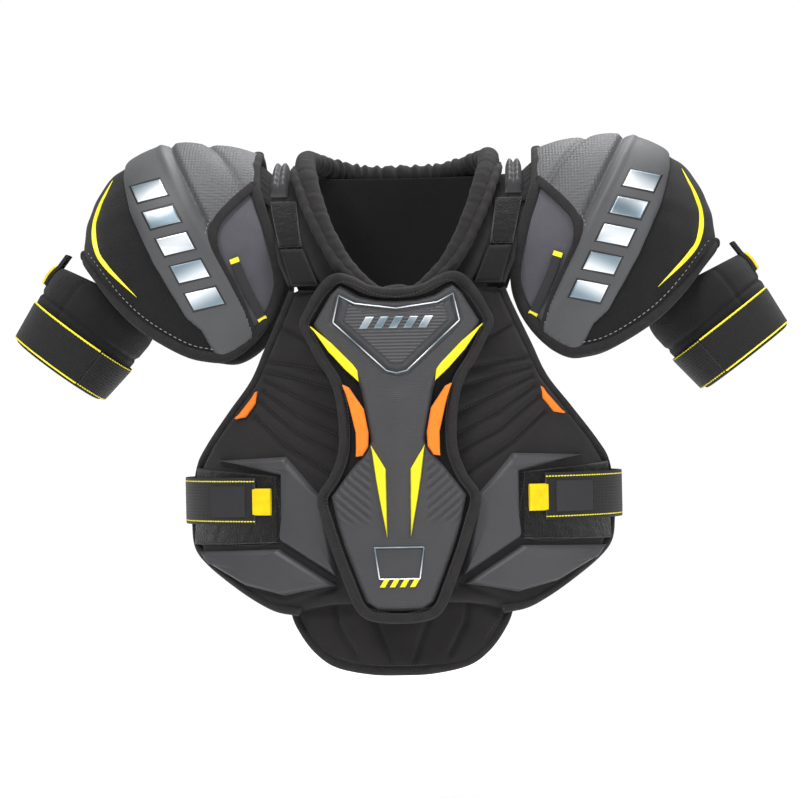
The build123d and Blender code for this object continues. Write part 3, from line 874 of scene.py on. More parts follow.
def build_collar():
    """A gathered neck roll with a slimmer roll outside it at the front."""
    knots = np.array([(0, -101, -122), (22, -101, -122), (52, -96, -92), (74, -82, -50), (88, -50, -4),
                      (91, -6, 15),
                      (86, 34, 16), (66, 64, 10), (34, 79, 4), (0, 79, 4)], dtype=float)
    loop = np.concatenate([knots, (knots * [-1, 1, 1])[-2:0:-1]])
    path = curve_through(loop, 620, closed=True)
    centre = np.array([0, -8.0, -20.0])
    out = np.array([0.0, 0.0, 1.0]) + 0.0 * path
    out = out + (path - centre) * [0.004, 0.004, 0.0]
    turn = np.linspace(0, 2 * np.pi, 40, endpoint=False)
    back = ease(20, 70, path[:, 1])
    run = np.linspace(0, 1, len(path), endpoint=False)[:, None] * 2 * np.pi
    folds = (np.sin(run * 61 + 1.2 * np.sin(run * 7) + 0.8 * np.sin(turn * 2)[None])
             + 0.5 * np.sin(run * 97 + 2.0 * np.cos(turn + 1)[None]))
    radius = 10.4 + sizes().gather_depth * folds * (0.22 + 0.78 * back[:, None]) + 0.5 * waves(
        path[:, :1] + 8 * np.cos(turn), path[:, 1:2] + 8 * np.sin(turn), path[:, 2:] + 0 * turn, 34, 5)
    profile = np.stack([radius * np.cos(turn), radius * np.sin(turn) * (0.92 + 0.10 * back[:, None])],
                       axis=-1)
    collar = ribbon("neck_roll", path, out, profile, "collar", "torso", True, replaces=("collar_roll",))
    upper = np.array([(50, -94, -98), (56, -92, -88), (74, -82, -50), (88, -50, -6), (91, -6, 12),
                      (86, 34, 12), (66, 64, 7),
                      (34, 77, 1), (0, 77, 1)], dtype=float)
    lower = np.array([(72, -100, -112), (82, -97, -92), (95, -82, -54), (99, -50, -20), (98, -6, -4),
                      (95, 34, -10),
                      (82, 60, -24), (40, 68, -16), (0, 72, -14)], dtype=float)
    upper, lower = (curve_through(np.concatenate([k, (k * [-1, 1, 1])[-2::-1]]),
                                  400)[:, None] for k in (upper, lower))
    v = np.linspace(0, 1, 16)[None, :, None]
    web = upper * (1 - v) + lower * v
    sag, gathers = np.sin(np.pi * v[..., 0]), np.sin(np.linspace(0, 260, 400))[:, None]
    web[..., 2] += 2.0 * sag + 0.5 * gathers * sag
    gusset = piece("collar_gusset", web, "collar", "torso", solid=False, flip=True)
    modify(gusset, "SOLIDIFY", thickness=0.0035, offset=-1.0)
    outer = np.array([(6, -112, -126), (30, -110, -117), (60, -103, -88), (83, -88, -46), (98, -56, -6),
                      (102, -20, 8)], dtype=float)
    for name, side in SIDES.items():
        slim = mirrored(curve_through(outer, 160), side)
        wobble = 4.6 + 0.35 * np.sin(np.linspace(0, 90, 160))[:, None]
        taper = np.interp(np.linspace(0, 1, 160), [0, 0.06, 0.9, 1], [0.5, 1, 1, 0.4])[:, None]
        circle = np.linspace(0, 2 * np.pi, 20, endpoint=False)
        section = np.stack([wobble * taper * np.cos(circle), wobble * taper * np.sin(circle)], axis=-1)
        ribbon(f"collar_piping_{name}", slim, np.array([0.0, 0.2, 1.0]) + 0.0 * slim, section,
               "binding", "torso")


def liner_place(v, x, gap):
    """The sloping nape panel: v runs from its lower edge (0) to its upper edge (1), with a shallow curve."""
    y = 98.0 - 24 * v - 12 + gap - 0.0022 * x * x
    z = -115.5 + 101.5 * v + 0.1 * gap
    return np.stack(np.broadcast_arrays(x, y, z), axis=-1)


def build_nape():
    """The lined nape panel behind the neck, with two upright seams."""
    def seams(v, x):
        return -1.6 * np.exp(-((np.abs(x) - 11.5) / 1.6) ** 2) + 0.6 * waves(x, 0 * x, v * 100, 40, 2)
    nape = patch("nape_lining", np.linspace(0, 1.14, 78), np.linspace(-87, 87, 160), liner_place,
                 0.0, 11.6, "lining", "torso", scale=(101.0, 1.0), soft=6, relief=seams,
                 replaces=("back_liner",))


ARCH_TURNS = np.array([0.0, 0.24, 0.585, 1.09, 1.35, 1.571, 2.3, 2.83, np.pi])
ARCH_INNER = np.array([68, 80, 92, 95, 86, 83, 82, 80, 80.0])
ARCH_OUTER = np.array([105, 115, 124, 130, 131, 132, 130, 117, 106.0])


def web_place(a, v, gap):
    """Elastic gusset ruled from the hoop (v = 0) to the underside of the cap's neck edge (v = 1)."""
    turn, over = 0.80 + 1.54 * a, 0.70 + 1.74 * a
    hoop = on_arch(121.0, turn, -2.5)
    cap = np.stack(np.broadcast_arrays(145.0, -89 * np.cos(over), CAP_Z + 89 * np.sin(over)), axis=-1)
    path = hoop * (1 - v[..., None]) + cap * v[..., None]
    return path + gap[..., None] * np.array([0.0, 0.0, 1.0])


def build_arches():
    """The padded shoulder hoops, the ribbed yoke pads on top, and the clavicle pads and tabs."""
    def strip(inner, outer):
        def place(turn, u, gap):
            low, high = np.interp(turn, ARCH_TURNS, inner), np.interp(turn, ARCH_TURNS, outer)
            return on_arch((low + high) / 2 + (high - low) / 2 * u, turn, gap)
        return place

    def ribs(turn, u):
        arch = np.abs(np.sin(np.pi * u))
        return 3.4 * arch - 3.4 + 0.7 * np.sin(turn * 62) * ease(0.1, 0.5, arch)

    for name, side in SIDES.items():
        hoop, hold = strip(ARCH_INNER, ARCH_OUTER), strip(0 * ARCH_TURNS + 107.2, 0 * ARCH_TURNS + 124.0)
        arch = patch(f"shoulder_hoop_{name}", np.linspace(0.02, 3.12, 200), np.linspace(-1, 1, 46),
                     lambda t, u, g: mirrored(hoop(t, u, g), side), -12.0, -0.1, "lining", "torso",
                     scale=(105.0, 22.0), soft=6, relief=lambda t, u: 0.4 * np.sin(t * 20 + u),
                     replaces=(f"shoulder_arch_{name}",))
        yoke = patch(f"yoke_ribs_{name}", np.linspace(0.93, 2.2, 140), np.linspace(-1, 1, 44),
                     lambda t, u, g: mirrored(hold(t, u, g), side), 0.3, 14.6, "plate_smooth",
                     "torso", scale=(112.0, 9.3), soft=5, relief=ribs, slot="cap_grey",
                     replaces=(f"yoke_pad_{name}",))
        web = patch(f"shoulder_web_{name}", np.linspace(0, 1, 90), np.linspace(0, 1, 16),
                    lambda a, v, g: mirrored(web_place(a, v, g), side), 0.0, 2.4, "knit", None,
                    scale=(160.0, 26.0), soft=1.5, relief=lambda a,
                    v: 0.5 * np.sin(a * 90) * np.sin(np.pi * v))
        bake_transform(web)
        clav = ring_panel(f"clavicle_cushion_{name}",
                          corners_through([(91, -76), (113, -76), (102, -112), (76, -112)], 140,
                                                                  True),
                          (95, -94), 0.3, lambda x, z, e: 5.6 * round_edge(e, 4), "knit", "torso",
                          LAYER,
                          side=side, surface=arch_place, rings=20, replaces=(f"clavicle_pad_{name}",))
        ring_panel(f"clavicle_tab_{name}", corners_through([(98, -28), (124, -28), (114, -74), (92, -74)],
                                                           140, True),
                   (107, -51), 0.4, lambda x, z, e: 3.1 * round_edge(e, 1.4) + 0.15 * waves(x, 0 * x, z, 7,
                                                                                            6),
                   "pile", f"clavicle_strap_{name}", LAYER, side=side, surface=arch_place, rings=22,
                   replaces=(f"clavicle_strap_{name}",))
        box_line = [(100.5, -30.5), (121, -30.5), (112, -71.5), (94.5, -71.5), (100, -31.5)]
        stitches(f"clavicle_stitches_{name}", [(box_line, side)], f"clavicle_strap_{name}", arch_place, 3.5,
                 pitch=3.0, size=(1.8, 0.55))


def build_back():
    """The quilted back with its binding, and the moulded spine plate."""
    def height(x, z, edge):
        lines = [[(60, -140), (66, -240), (72, -330), (62, -425)], [(66, -210), (120, -190), (150, -215)],
                 [(70, -290), (130, -268), (182, -272)], [(70, -370), (130, -352), (184, -352)]]
        return 12.6 * round_edge(edge, 11) + (groove(np.abs(x), z, lines, sizes().quilt_depth, 3.6)
                                              + 0.9 * waves(x, 0 * x, z, 60, 12)) * ease(2, 12, edge)

    def spine(x, z, edge):
        ribs = 1.3 * np.sin(2 * np.pi * z / 26) * ease(5, 10, edge)
        return 6.4 * round_edge(edge, 5) + ribs + 1.0 * ease(12, 16, np.abs(x)) * ease(4, 10, edge)
    panel = rows_panel("back_quilt", BACK_WIDTHS, [(0, -117), (88, -117)], BACK_BOTTOMS, 1.0, height,
                       "quilt",
                       "torso", LAYER, back=True, rows=170, cols=190, replaces=("back_panel",))
    plate = rows_panel("spine_shield", [(-129, 38), (-200, 46), (-300, 36), (-395, 30)],
                       [(0, -129), (38, -129)],
                       [(0, -409), (30, -395)], 13.0, spine, "plate", "torso", LAYER, back=True,
                       rows=150, cols=60, replaces=("spine_plate",))
    half = [(88, -119), (110, -141), (138, -191), (164, -241), (180, -290), (182.5, -350), (150, -395),
            (92, -425),
            (50, -434), (0, -437)]
    path = half + [(-x, z) for x, z in half[-2::-1]]
    trim("back_edge", path, 7.6, 8.5, 14.0, "binding", "torso", body_place(True), square=2.4)
    inner = [(x * 0.95, z + (6 if z < -400 else 0)) for x, z in path]
    stitches("back_edge_stitches", [(inner, 1.0)], "torso", body_place(True), 13.0, pitch=3.6,
             size=(2.0, 0.6))


def waist_path(first, last, gap, z, count):
    """Points and normals round the body at one height, from angle first to last, 0 at the front middle."""
    a, b = FORM_WIDTH - WIDTH_PER_DROP * z + gap, FORM_DEPTH - DEPTH_PER_DROP * z + gap
    t = np.linspace(first, last, count)
    path = np.stack([a * np.sin(t), -b * np.cos(t), z + 0 * t], axis=1)
    out = np.stack([np.sin(t) / a, -np.cos(t) / b, 0 * t], axis=1)
    return path, out / np.linalg.norm(out, axis=1, keepdims=True)


def build_waist():
    """The waist elastic: a fixed length to the back, and a free length with its pull tab and label."""
    for name, side in SIDES.items():
        a = FORM_WIDTH - WIDTH_PER_DROP * WAIST_Z + WAIST_GAP
        start, fold = float(np.arcsin(141 / a)), WAIST_FOLD
        parts = (("rear", fold + 0.004, rear_end(name), "torso", f"waist_strap_rear_{name}"),
                 ("free", start, fold, f"waist_strap_{name}", f"waist_strap_{name}"))
        for label, first, last, body, node in parts:
            path, out = waist_path(first, last, WAIST_GAP, WAIST_Z, 90)
            ribbon(f"waist_elastic_{label}_{name}", mirrored(path, side), mirrored(out, side),
                   pill(WAIST_WIDTH, 2.9, 40, 9),
                   "waist", body, flat=True, replaces=(node,))
        path, out = waist_path(float(np.arcsin(125 / a)), float(np.arcsin(143 / a)), 18.8, -321.5, 24)
        ribbon(f"waist_pull_{name}", mirrored(path, side), mirrored(out, side), pill(26, 2.6, 32, 7),
               "tab",
               f"waist_strap_{name}", flat=True, replaces=(f"waist_tab_{name}",))
        path, out = waist_path(float(np.arcsin(150 / a)), float(np.arcsin(186 / a)), 20.1, WAIST_Z, 30)
        ribbon(f"waist_label_{name}", mirrored(path, side), mirrored(out, side), pill(30, 0.7, 24, 8),
               "label",
               f"waist_strap_{name}", flat=True)


def rear_end(name):
    """The angle at which the fixed waist length ends, read from its frame piece."""
    low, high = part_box(f"waist_strap_rear_{name}")
    b = FORM_DEPTH - DEPTH_PER_DROP * WAIST_Z + WAIST_GAP
    return float(np.pi - np.arccos(np.clip(high[1] / MM / b, -1, 1))) - 0.01


# ------------------------------------------------------------------------------ sternum
def plate_height(x, z, edge):
    """8 mm moulded plate: a raised hexagon at the top, a waisted column, and slanted fins below."""
    ax = np.abs(x)
    ring = [[(0, -200), (10, -197), (57, -149), (50, -122), (38, -131), (0, -137)]]
    rise = 7.2 * round_edge(edge, 5.5)
    gutter = -1.5 * np.exp(-((distance_to(ax, z, ring) - 1.5) / 1.4) ** 2)
    step = 1.2 * ease(3, 6, distance_to(ax, z, ring)) * inside(ax, z,
                                                               [(0, -137), (38, -131), (50, -122),
                                                                (57, -149),
                                                                       (10, -197), (0, -200)])
    fins = 1.0 * np.sin(2 * np.pi * (z - 0.9 * ax) / 9.0) * ease(23, 28, ax) * ease(-274, -284,
                                                                                    z) * ease(-347, -338, z)
    spine = 1.4 * np.exp(-(ax / 9) ** 2) * ease(-212, -225, z) * ease(-360, -350, z)
    return rise + (gutter + step + fins + spine) * ease(2, 7, edge)


def build_sternum():
    """The sternum pad: bound cloth base, moulded plate, ribbed inset, blades, inserts and trim."""
    place = body_place()
    base = rows_panel("sternum_base", STERNUM_WIDTHS, [(0, -121.5), (25, -118), (44, -108), (56, -106.5)],
                      [(0, -434), (14, -433.5), (27, -431)], 14.3, lambda x, z, e: 8.4 * round_edge(e, 8),
                      "knit",
                      "sternum", LAYER, rows=160, cols=110, replaces=("sternum_foam",))
    plate = rows_panel("sternum_shield", PLATE_WIDTHS, PLATE_TOPS, [(0, -427), (20, -426)], 22.4,
                       plate_height,
                       "plate", "sternum", LAYER, rows=280, cols=130,
                       replaces=("sternum_plate", "sternum_inset"))
    trim("sternum_edge", both_sides(STERNUM_EDGE), 23.0, sizes().binding_width, 17.0, "binding",
         "sternum", place, closed=True, square=2.6, pitch=2.4, replaces=("sternum_binding",))
    inner = [(max(0.0, x - 6.5), z + (5 if z < -425 else -4 if z > -125 else 0)) for x, z in STERNUM_EDGE]
    stitches("sternum_stitches", [(inner, side) for side in SIDES.values()], "sternum", place, 31.6,
             pitch=3.2, size=(2.0, 0.6))
    hexagon = [(0, -192), (6, -190), (48, -148), (43, -130), (34, -138), (0, -143)]
    ring_panel("sternum_hexagon", corners_through(both_sides(hexagon), 240, True), (0, -160), 28.4,
               lambda x, z, e: 3.4 * round_edge(e, 3.0), "plate_ribs", "sternum", LAYER, rings=26)
    outline = [(0, -199), (9, -196.5), (56, -149), (50.5, -123), (37, -131), (0, -136.5)]
    trim("sternum_inset_line", both_sides(outline), 30.9, 1.1, 1.2, "bright", "sternum", place,
         closed=True, smooth=False, pitch=1.6)
    for name, side in SIDES.items():
        for label, outline, centre, tall, colour, node in INLAYS:
            ring_panel(f"{label}_{name}", corners_through(outline, 150, True), centre, 28.6,
                       lambda x, z, e, tall=tall: tall * round_edge(e, 1.8), colour, "sternum", LAYER,
                       side=side,
                       surface=place, rings=14, replaces=(node,) if side > 0 and node else ())
    for index, x in enumerate((-26, -13, 0, 13, 26)):
        slant_bar(f"chest_bar_{index}", (x, -150), 8.0, 12.0, 31.6, "bright", place,
                  ("sternum_emblem",) if index == 2 else ())
    for index, x in enumerate((-13.5, -4.5, 4.5, 13.5)):
        slant_bar(f"badge_bar_{index}", (x, -400), 5.0, 8.0, 30.6, "yellow", place,
                  ("model_badge",) if index == 2 else ())
    frame_line = [(-22, -366), (22, -366), (18, -396), (-18, -396)]
    trim("sternum_lower_frame", frame_line, 30.6, 1.3, 1.2, "bright", "sternum", place, closed=True,
         smooth=False, pitch=1.6)


INLAYS = (
    ("upper_blade", [(77, -152), (58, -169), (39, -190), (35, -196), (34, -207), (46, -195), (61, -177)],
     (44, -190), 3.6, "yellow", "upper_blades"),
    ("orange_inlay", [(48.5, -209), (43, -212), (30, -233), (26, -256), (26.5, -269.5), (31.6, -278),
                      (37.5, -279), (37.5, -256), (43, -230)], (33.5, -250), 3.8, "orange", "orange_inserts"),
    ("lower_blade", [(24, -268), (11, -291), (10.5, -357), (17, -320), (20, -300)], (14.5, -301), 4.4,
     "yellow", "lower_blades"),
)


def slant_bar(name, centre, width, height, gap, colour, place, replaces):
    """A small bevelled slanted bar laid on the plate."""
    x, z = centre
    lean, w, h = height * 0.28, width / 2, height / 2
    outline = [(x - w + lean, z + h), (x + w + lean, z + h), (x + w - lean, z - h), (x - w - lean, z - h)]
    return ring_panel(name, corners_through(outline, 64, True), centre, gap - 1.0,
                      lambda a, b, e: 2.0 * round_edge(e, 1.2), colour, "sternum", LAYER, surface=place,
                      rings=9, replaces=replaces)


# ------------------------------------------------------------------------------ caps
BAND_T = [-52.0, -34.0, 27.0, 85.0, 120.0, 135.0]
BAND_W = [239.0, 246.5, 250.0, 248.0, 241.0, 235.0]


def bands(x, z):
    """Across and along the slanted bands of a cap, in millimetres."""
    c, s = np.cos(BAND_TILT), np.sin(BAND_TILT)
    return c * x - s * z, s * x + c * z


def unband(w, t):
    """The X Z place of a point given across and along the bands."""
    c, s = np.cos(BAND_TILT), np.sin(BAND_TILT)
    return c * w + s * t, c * t - s * w


def cap_lift(x, z):
    """Relief of the cap: two padded ribs by the opening, a crest, and a wide smooth band that ends in a
    bevel, after which the surface dips under the knitted panel."""
    w, t = bands(x, z)
    edge = np.interp(t, BAND_T, BAND_W) - w
    first = distance_to(x, z, [[(206, 50), (190, 35.5), (174.6, 21), (159, 1), (148.5, -16)]])
    ribs = 2.2 * (1 - np.exp(-(first / 9) ** 2)) * (w < GROOVE_ACROSS)
    grooves = -2.4 * np.exp(-(first / 2.4) ** 2) - 3.2 * np.exp(-((w - GROOVE_ACROSS) / 2.4) ** 2)
    crest = 1.6 * np.exp(-((w - 195.5) / 3.6) ** 2)
    band = 2.6 * round_edge(np.clip(edge, 0, None), 9) * ease(186, 200, w)
    return ribs + grooves + crest + band - 1.5 * np.clip(-edge, 0, 5)


def cap_grid(lift, cols=150, rows=230, shift=0.0):
    """The cap as a grid: rows follow the profile from the neck to the arm, columns run from the front
    hem over the dome to the back hem. lift(x, z, front) raises it."""
    neck = np.arcsin((CAP_X - 106) / CAP_BACK_RADIUS)
    angle = np.concatenate([np.linspace(-neck, 0, rows // 2, endpoint=False),
                            np.linspace(0, np.pi / 2, rows - rows // 2)])[:, None]
    x = np.where(angle < 0, CAP_X + CAP_BACK_RADIUS * np.sin(angle), CAP_X + CAP_RADIUS * np.sin(angle))
    reach = np.where(angle < 0, CAP_RADIUS - CAP_BACK_RADIUS + CAP_BACK_RADIUS * np.cos(angle),
                     CAP_RADIUS * np.cos(angle))
    q = np.linspace(-1, 1, cols)[None]
    wall = 0.36
    dome = np.clip(q / (1 - wall), -1, 1) * np.pi / 2
    drop = np.clip(np.abs(q) - (1 - wall), 0, None) / wall * CAP_DROP
    below = drop > 0
    y = np.where(below, np.sign(q) * np.clip(reach - CAP_LEAN * drop / CAP_DROP, 0, None),
                 reach * np.sin(dome))
    z = np.where(below, CAP_Z - drop, CAP_Z + reach * np.cos(dome))
    x = x + 0 * y
    out_x = np.sin(angle) + 0 * y
    flat = np.cos(angle)
    out_y = np.where(below, np.sign(q) * flat, flat * np.sin(dome))
    out_z = np.where(below, -CAP_LEAN / CAP_DROP * flat, flat * np.cos(dome))
    up = lift(x, z, y < 0) + shift
    return np.stack([x + out_x * up, y + out_y * up, z + out_z * up], axis=-1), x, y, z


HEM_OUTLINE = [(140, 80)] + CAP_HEM + [(330, -55), (340, 80)]
OPENING = [(100, 8)] + CAP_OPENING + [(139, -200), (90, -200)]


def cap_patch(name, side, lift, keep, finish_name, body, shift=0.0, wall=None, **more):
    """One surface of a cap: the cells of the cap's grid that keep(x, z, y) picks."""
    grid, x, y, z = cap_grid(lift, shift=shift)
    mid = [(v[:-1, :-1] + v[1:, 1:] + v[1:, :-1] + v[:-1, 1:]) / 4 for v in (x, z, y)]
    obj = merged(piece(name, mirrored(grid, side), finish_name, body, keep=keep(*mid), solid=False,
                       flip=side < 0,
                       **more))
    if wall:
        modify(obj, "SOLIDIFY", thickness=wall, offset=-1.0)
    return obj


def hem_path(lift, count=520):
    """The closed hem of a cap: down its neck side, along the front hem, round the arm side and back."""
    reach = float(cap_reach(np.array(139.0), 0.0))
    top = [(139.0, CAP_Z + reach * np.sin(a)) for a in (1.5707, 1.4, 1.22, 1.05)]
    line = np.array(top + CAP_HEM + [(313.0, -76.5), (314.9, -74.5)])
    front = on_cap(line[:, 0], line[:, 1], lift)
    back = (front * [1, -1, 1])[::-1]
    loop = np.concatenate([front, back[1:-1]])
    centre = np.array([200.0, 0.0, CAP_Z + 20])
    path = curve_through(loop, count, closed=True)
    out = path - centre
    out[:, 2] = np.where(path[:, 2] < CAP_Z, 0.12 * out[:, 2], out[:, 2])
    out[:, 0] = np.where(path[:, 0] < 150, 0.12 * out[:, 0], out[:, 0])
    return path, out / np.linalg.norm(out, axis=1, keepdims=True)


def build_caps():
    """The moulded caps: shell, lining, knitted arm side, front panel, bindings, stripe and bars."""
    for name, side in SIDES.items():
        body = f"cap_{name}"

        def in_hem(x, z, y):
            return inside(x, z, HEM_OUTLINE)

        def on_shell(x, z, y):
            w, t = bands(x, z)
            over = w - np.interp(t, BAND_T, BAND_W) < 4
            return in_hem(x, z, y) & over & ~((y < 0) & inside(x, z, OPENING))

        def on_knit(x, z, y):
            w, t = bands(x, z)
            return in_hem(x, z, y) & (w - np.interp(t, BAND_T, BAND_W) > -4)

        def on_front(x, z, y):
            return in_hem(x, z, y) & (y < 0) & inside(x, z, OPENING)

        def knit_lift(x, z, front):
            w, t = bands(x, z)
            return -1.0 + 1.2 * ease(2, 14, w - np.interp(t, BAND_T, BAND_W)) + 0.5 * waves(x, 0 * x, z, 30,
                                                                                            9)

        place = on_cap
        shell = cap_patch(f"cap_foam_{name}", side, lambda x, z, f: cap_lift(x, z), on_shell, "cap", body,
                          wall=0.004, replaces=(f"cap_shell_{name}",))
        knit = cap_patch(f"cap_knit_{name}", side, knit_lift, on_knit, "knit", body, wall=0.003,
                         replaces=(f"cap_knit_panel_{name}",))
        panel = cap_patch(f"cap_front_{name}", side, lambda x, z, f: 0.5 * waves(x, 0 * x, z, 26, 7),
                          on_front, "brushed",
                          body, shift=-2.5, wall=0.003, replaces=(f"cap_front_panel_{name}",))
        cap_patch(f"cap_lining_{name}", side, lambda x, z, f: 0 * x, in_hem, "lining", body, shift=-6.2,
                  wall=0.0015, replaces=(f"cap_liner_{name}",))
        path, out = hem_path(-2.2)
        ribbon(f"cap_hem_{name}", mirrored(path, side), mirrored(out, side), pill(11.0, 10.5, 24, 2.6),
               "binding",
               body, True, replaces=(f"cap_binding_{name}",))
        trim(f"cap_opening_{name}", [(139, -12)] + CAP_OPENING[2:], 0.2, 9.5, 5.5, "binding", body,
             place, side, pitch=2.0)
        along = [(x + 6.8, z + 0.5) for x, z in CAP_OPENING[1:-1]]
        stitches(f"cap_opening_stitches_{name}", [(along, side)], body, place, 1.6, pitch=4.2,
                 size=(2.4, 0.8), thread="light_thread")
        hem = [(x * 0.985 + 1.5, z + 7.5) for x, z in CAP_HEM[7:]]
        stitches(f"cap_hem_stitches_{name}", [(hem, side)], body, place, 1.5, pitch=5.2, size=(2.8, 0.9),
                 thread="light_thread")
        label = [(158, -84), (151, -104), (141, -126), (131, -146)]
        trim(f"cap_label_{name}", label, 0.2, 9.0, 1.4, "label", body, place, side, pitch=2.0, square=8)
        for index, ends in enumerate((label[:2], label[2:])):
            (ax, az), (bx, bz) = ends if index == 0 else ends[::-1]
            tip = [(ax, az), (ax + (bx - ax) * 0.22, az + (bz - az) * 0.22)]
            trim(f"cap_label_end_{index}_{name}", tip, 0.5, 9.3, 1.4, "yellow", body, place, side,
                 pitch=0.6, square=8)
        stripe = [(281.8, -2), (294, -29.6), (298.6, -48), (297, -68), (286, -88), (254, -120)]
        trim(f"cap_stripe_{name}", stripe, 1.2, 5.4, 1.8, "yellow", body, place, side, pitch=2.0,
             taper=(0.1, 0.7, 1.0, 1.0, 0.6, 0.05))
        for index, t in enumerate((-26.0, 4.0, 34.0, 64.0, 94.0)):
            for layer, grow, colour in ((0, 1.8, "dark_trim"), (1, 0.0, "bright")):
                wide, tall = 15.0 + grow, 9.5 + grow
                corners = [(BAR_ACROSS - wide, t - tall - 4), (BAR_ACROSS - wide, t + tall - 4),
                           (BAR_ACROSS + wide, t + tall + 4),
                           (BAR_ACROSS + wide, t - tall + 4)]
                outline = corners_through([unband(w, s) for w, s in corners], 96, True)
                ring_panel(f"cap_bar_{index}_{layer}_{name}", outline, unband(BAR_ACROSS, t),
                           1.2 + 0.5 * layer,
                           lambda x, z, e: 1.9 * round_edge(e, 1.4), colour, body, LAYER, side=side,
                           surface=place, rings=14,
                           replaces=(f"cap_emblem_{name}",) if index == 2 and layer else ())


# ------------------------------------------------------------------------------ arm guards
def build_guards():
    """The padded sleeve of each arm with its band, piping, webbing and pull tab."""
    for name, side in SIDES.items():
        body = f"bicep_{name}"
        turn = np.linspace(0, 2 * np.pi, 150, endpoint=False)[None]
        top = 54 + 10 * np.cos(turn) - 12 * np.exp(-((turn - np.pi) / 0.6) ** 2)
        down = np.linspace(0, 1, 70)[:, None]
        bend = np.linspace(0, np.pi, 14)[1:-1, None]
        end, half = GUARD_END - GUARD_WALL / 2, GUARD_WALL / 2
        along = np.concatenate([top + (end - top) * down, end + half * np.sin(bend) + 0 * turn,
                                end + (top - end) * down, top - half * np.sin(bend)])
        depth = np.concatenate([0 * top + 0 * down, half - half * np.cos(bend) + 0 * turn,
                                GUARD_WALL + 0 * top + 0 * down,
                                half + half * np.cos(bend) + 0 * turn])
        x_like, z_like = along * 1.0, turn * 55 + 0 * along
        seam = -1.8 * np.exp(-((along - 92) / 2.2) ** 2) - 1.6 * np.exp(-((turn - 1.1) * 60 / 2.4) ** 2)
        puff = (0.8 * waves(x_like, z_like, 0 * x_like, 46, 21) * ease(64, 92,
                                                                       along) + seam - 0.6) * (depth < 1)
        grid = on_arm(along, turn + 0 * along, guard_reach(along) - depth + puff)
        guard = piece(f"arm_guard_{name}", mirrored(grid, side), "knit", body, wrap=(True, True),
                      replaces=(f"bicep_guard_{name}",))
        parts = (("base", 121, 335, body, f"bicep_strap_base_{name}", 0.0),
                 ("tail", 22, 120, f"bicep_strap_{name}", f"bicep_strap_{name}", 0.3))
        for label, first, last, carrier, node, rise in parts:
            angle = np.radians(np.linspace(first, last, 120))
            path = on_arm(np.full(120, BAND_ALONG), angle,
                          guard_reach(np.full(120, BAND_ALONG)) + 1.9 + rise)
            axis = on_arm(np.array([BAND_ALONG]), np.array([0.0]), np.array([0.0]))
            tilt = on_arm(np.array([BAND_ALONG + 10]), np.array([0.0]), np.array([0.0])) - axis
            out = path - axis
            out = out / np.linalg.norm(out, axis=1, keepdims=True) + tilt / 10 * 0.115
            ribbon(f"arm_band_{label}_{name}", mirrored(path, side), mirrored(out, side),
                   pill(BAND_WIDTH, 3.0, 40, 9),
                   "armband", carrier, flat=True, replaces=(node,))
        for row, place_along in enumerate((102.5, 142.5)):
            angle = np.radians(np.linspace(24, 119, 110))
            path = on_arm(np.full(110, place_along), angle, guard_reach(np.full(110, place_along)) + 3.2)
            axis = on_arm(np.array([place_along]), np.array([0.0]), np.array([0.0]))
            ribbon(f"arm_band_piping_{row}_{name}", mirrored(path, side), mirrored(path - axis, side),
                   pill(1.6, 1.8, 12, 2.2), "yellow", f"bicep_strap_{name}")
        web = lambda t, a, g: mirrored(on_arm(t, a, guard_reach(np.maximum(t, 61)) + g), side)
        patch(f"arm_webbing_{name}", np.linspace(46, 84, 40), np.radians(np.linspace(-15, 15, 30)), web,
              0.3, 3.0,
              "webbing", body, scale=(1.0, 60.0), soft=1.6, replaces=(f"bicep_connector_{name}",))
        patch(f"arm_pull_{name}", np.linspace(62, 84, 26), np.radians(np.linspace(-2, 9, 18)), web, 3.1,
              5.0,
              "tab", body, scale=(1.0, 60.0), soft=1.2, replaces=(f"bicep_tab_{name}",))


# ------------------------------------------------------------------------------ studio
def area_light(name, place, size, power):
    """A soft light aimed at the middle of the pads."""
    data = bpy.data.lights.new(name, "AREA")
    data.shape, data.size, data.energy = "DISK", size, power
    lamp = bpy.data.objects.new(name, data)
    bpy.context.scene.collection.objects.link(lamp)
    aim = Vector((0.0, 0.0, -0.22)) - Vector(place)
    lamp.matrix_world = Matrix.Translation(place) @ aim.to_track_quat("-Z", "Y").to_matrix().to_4x4()


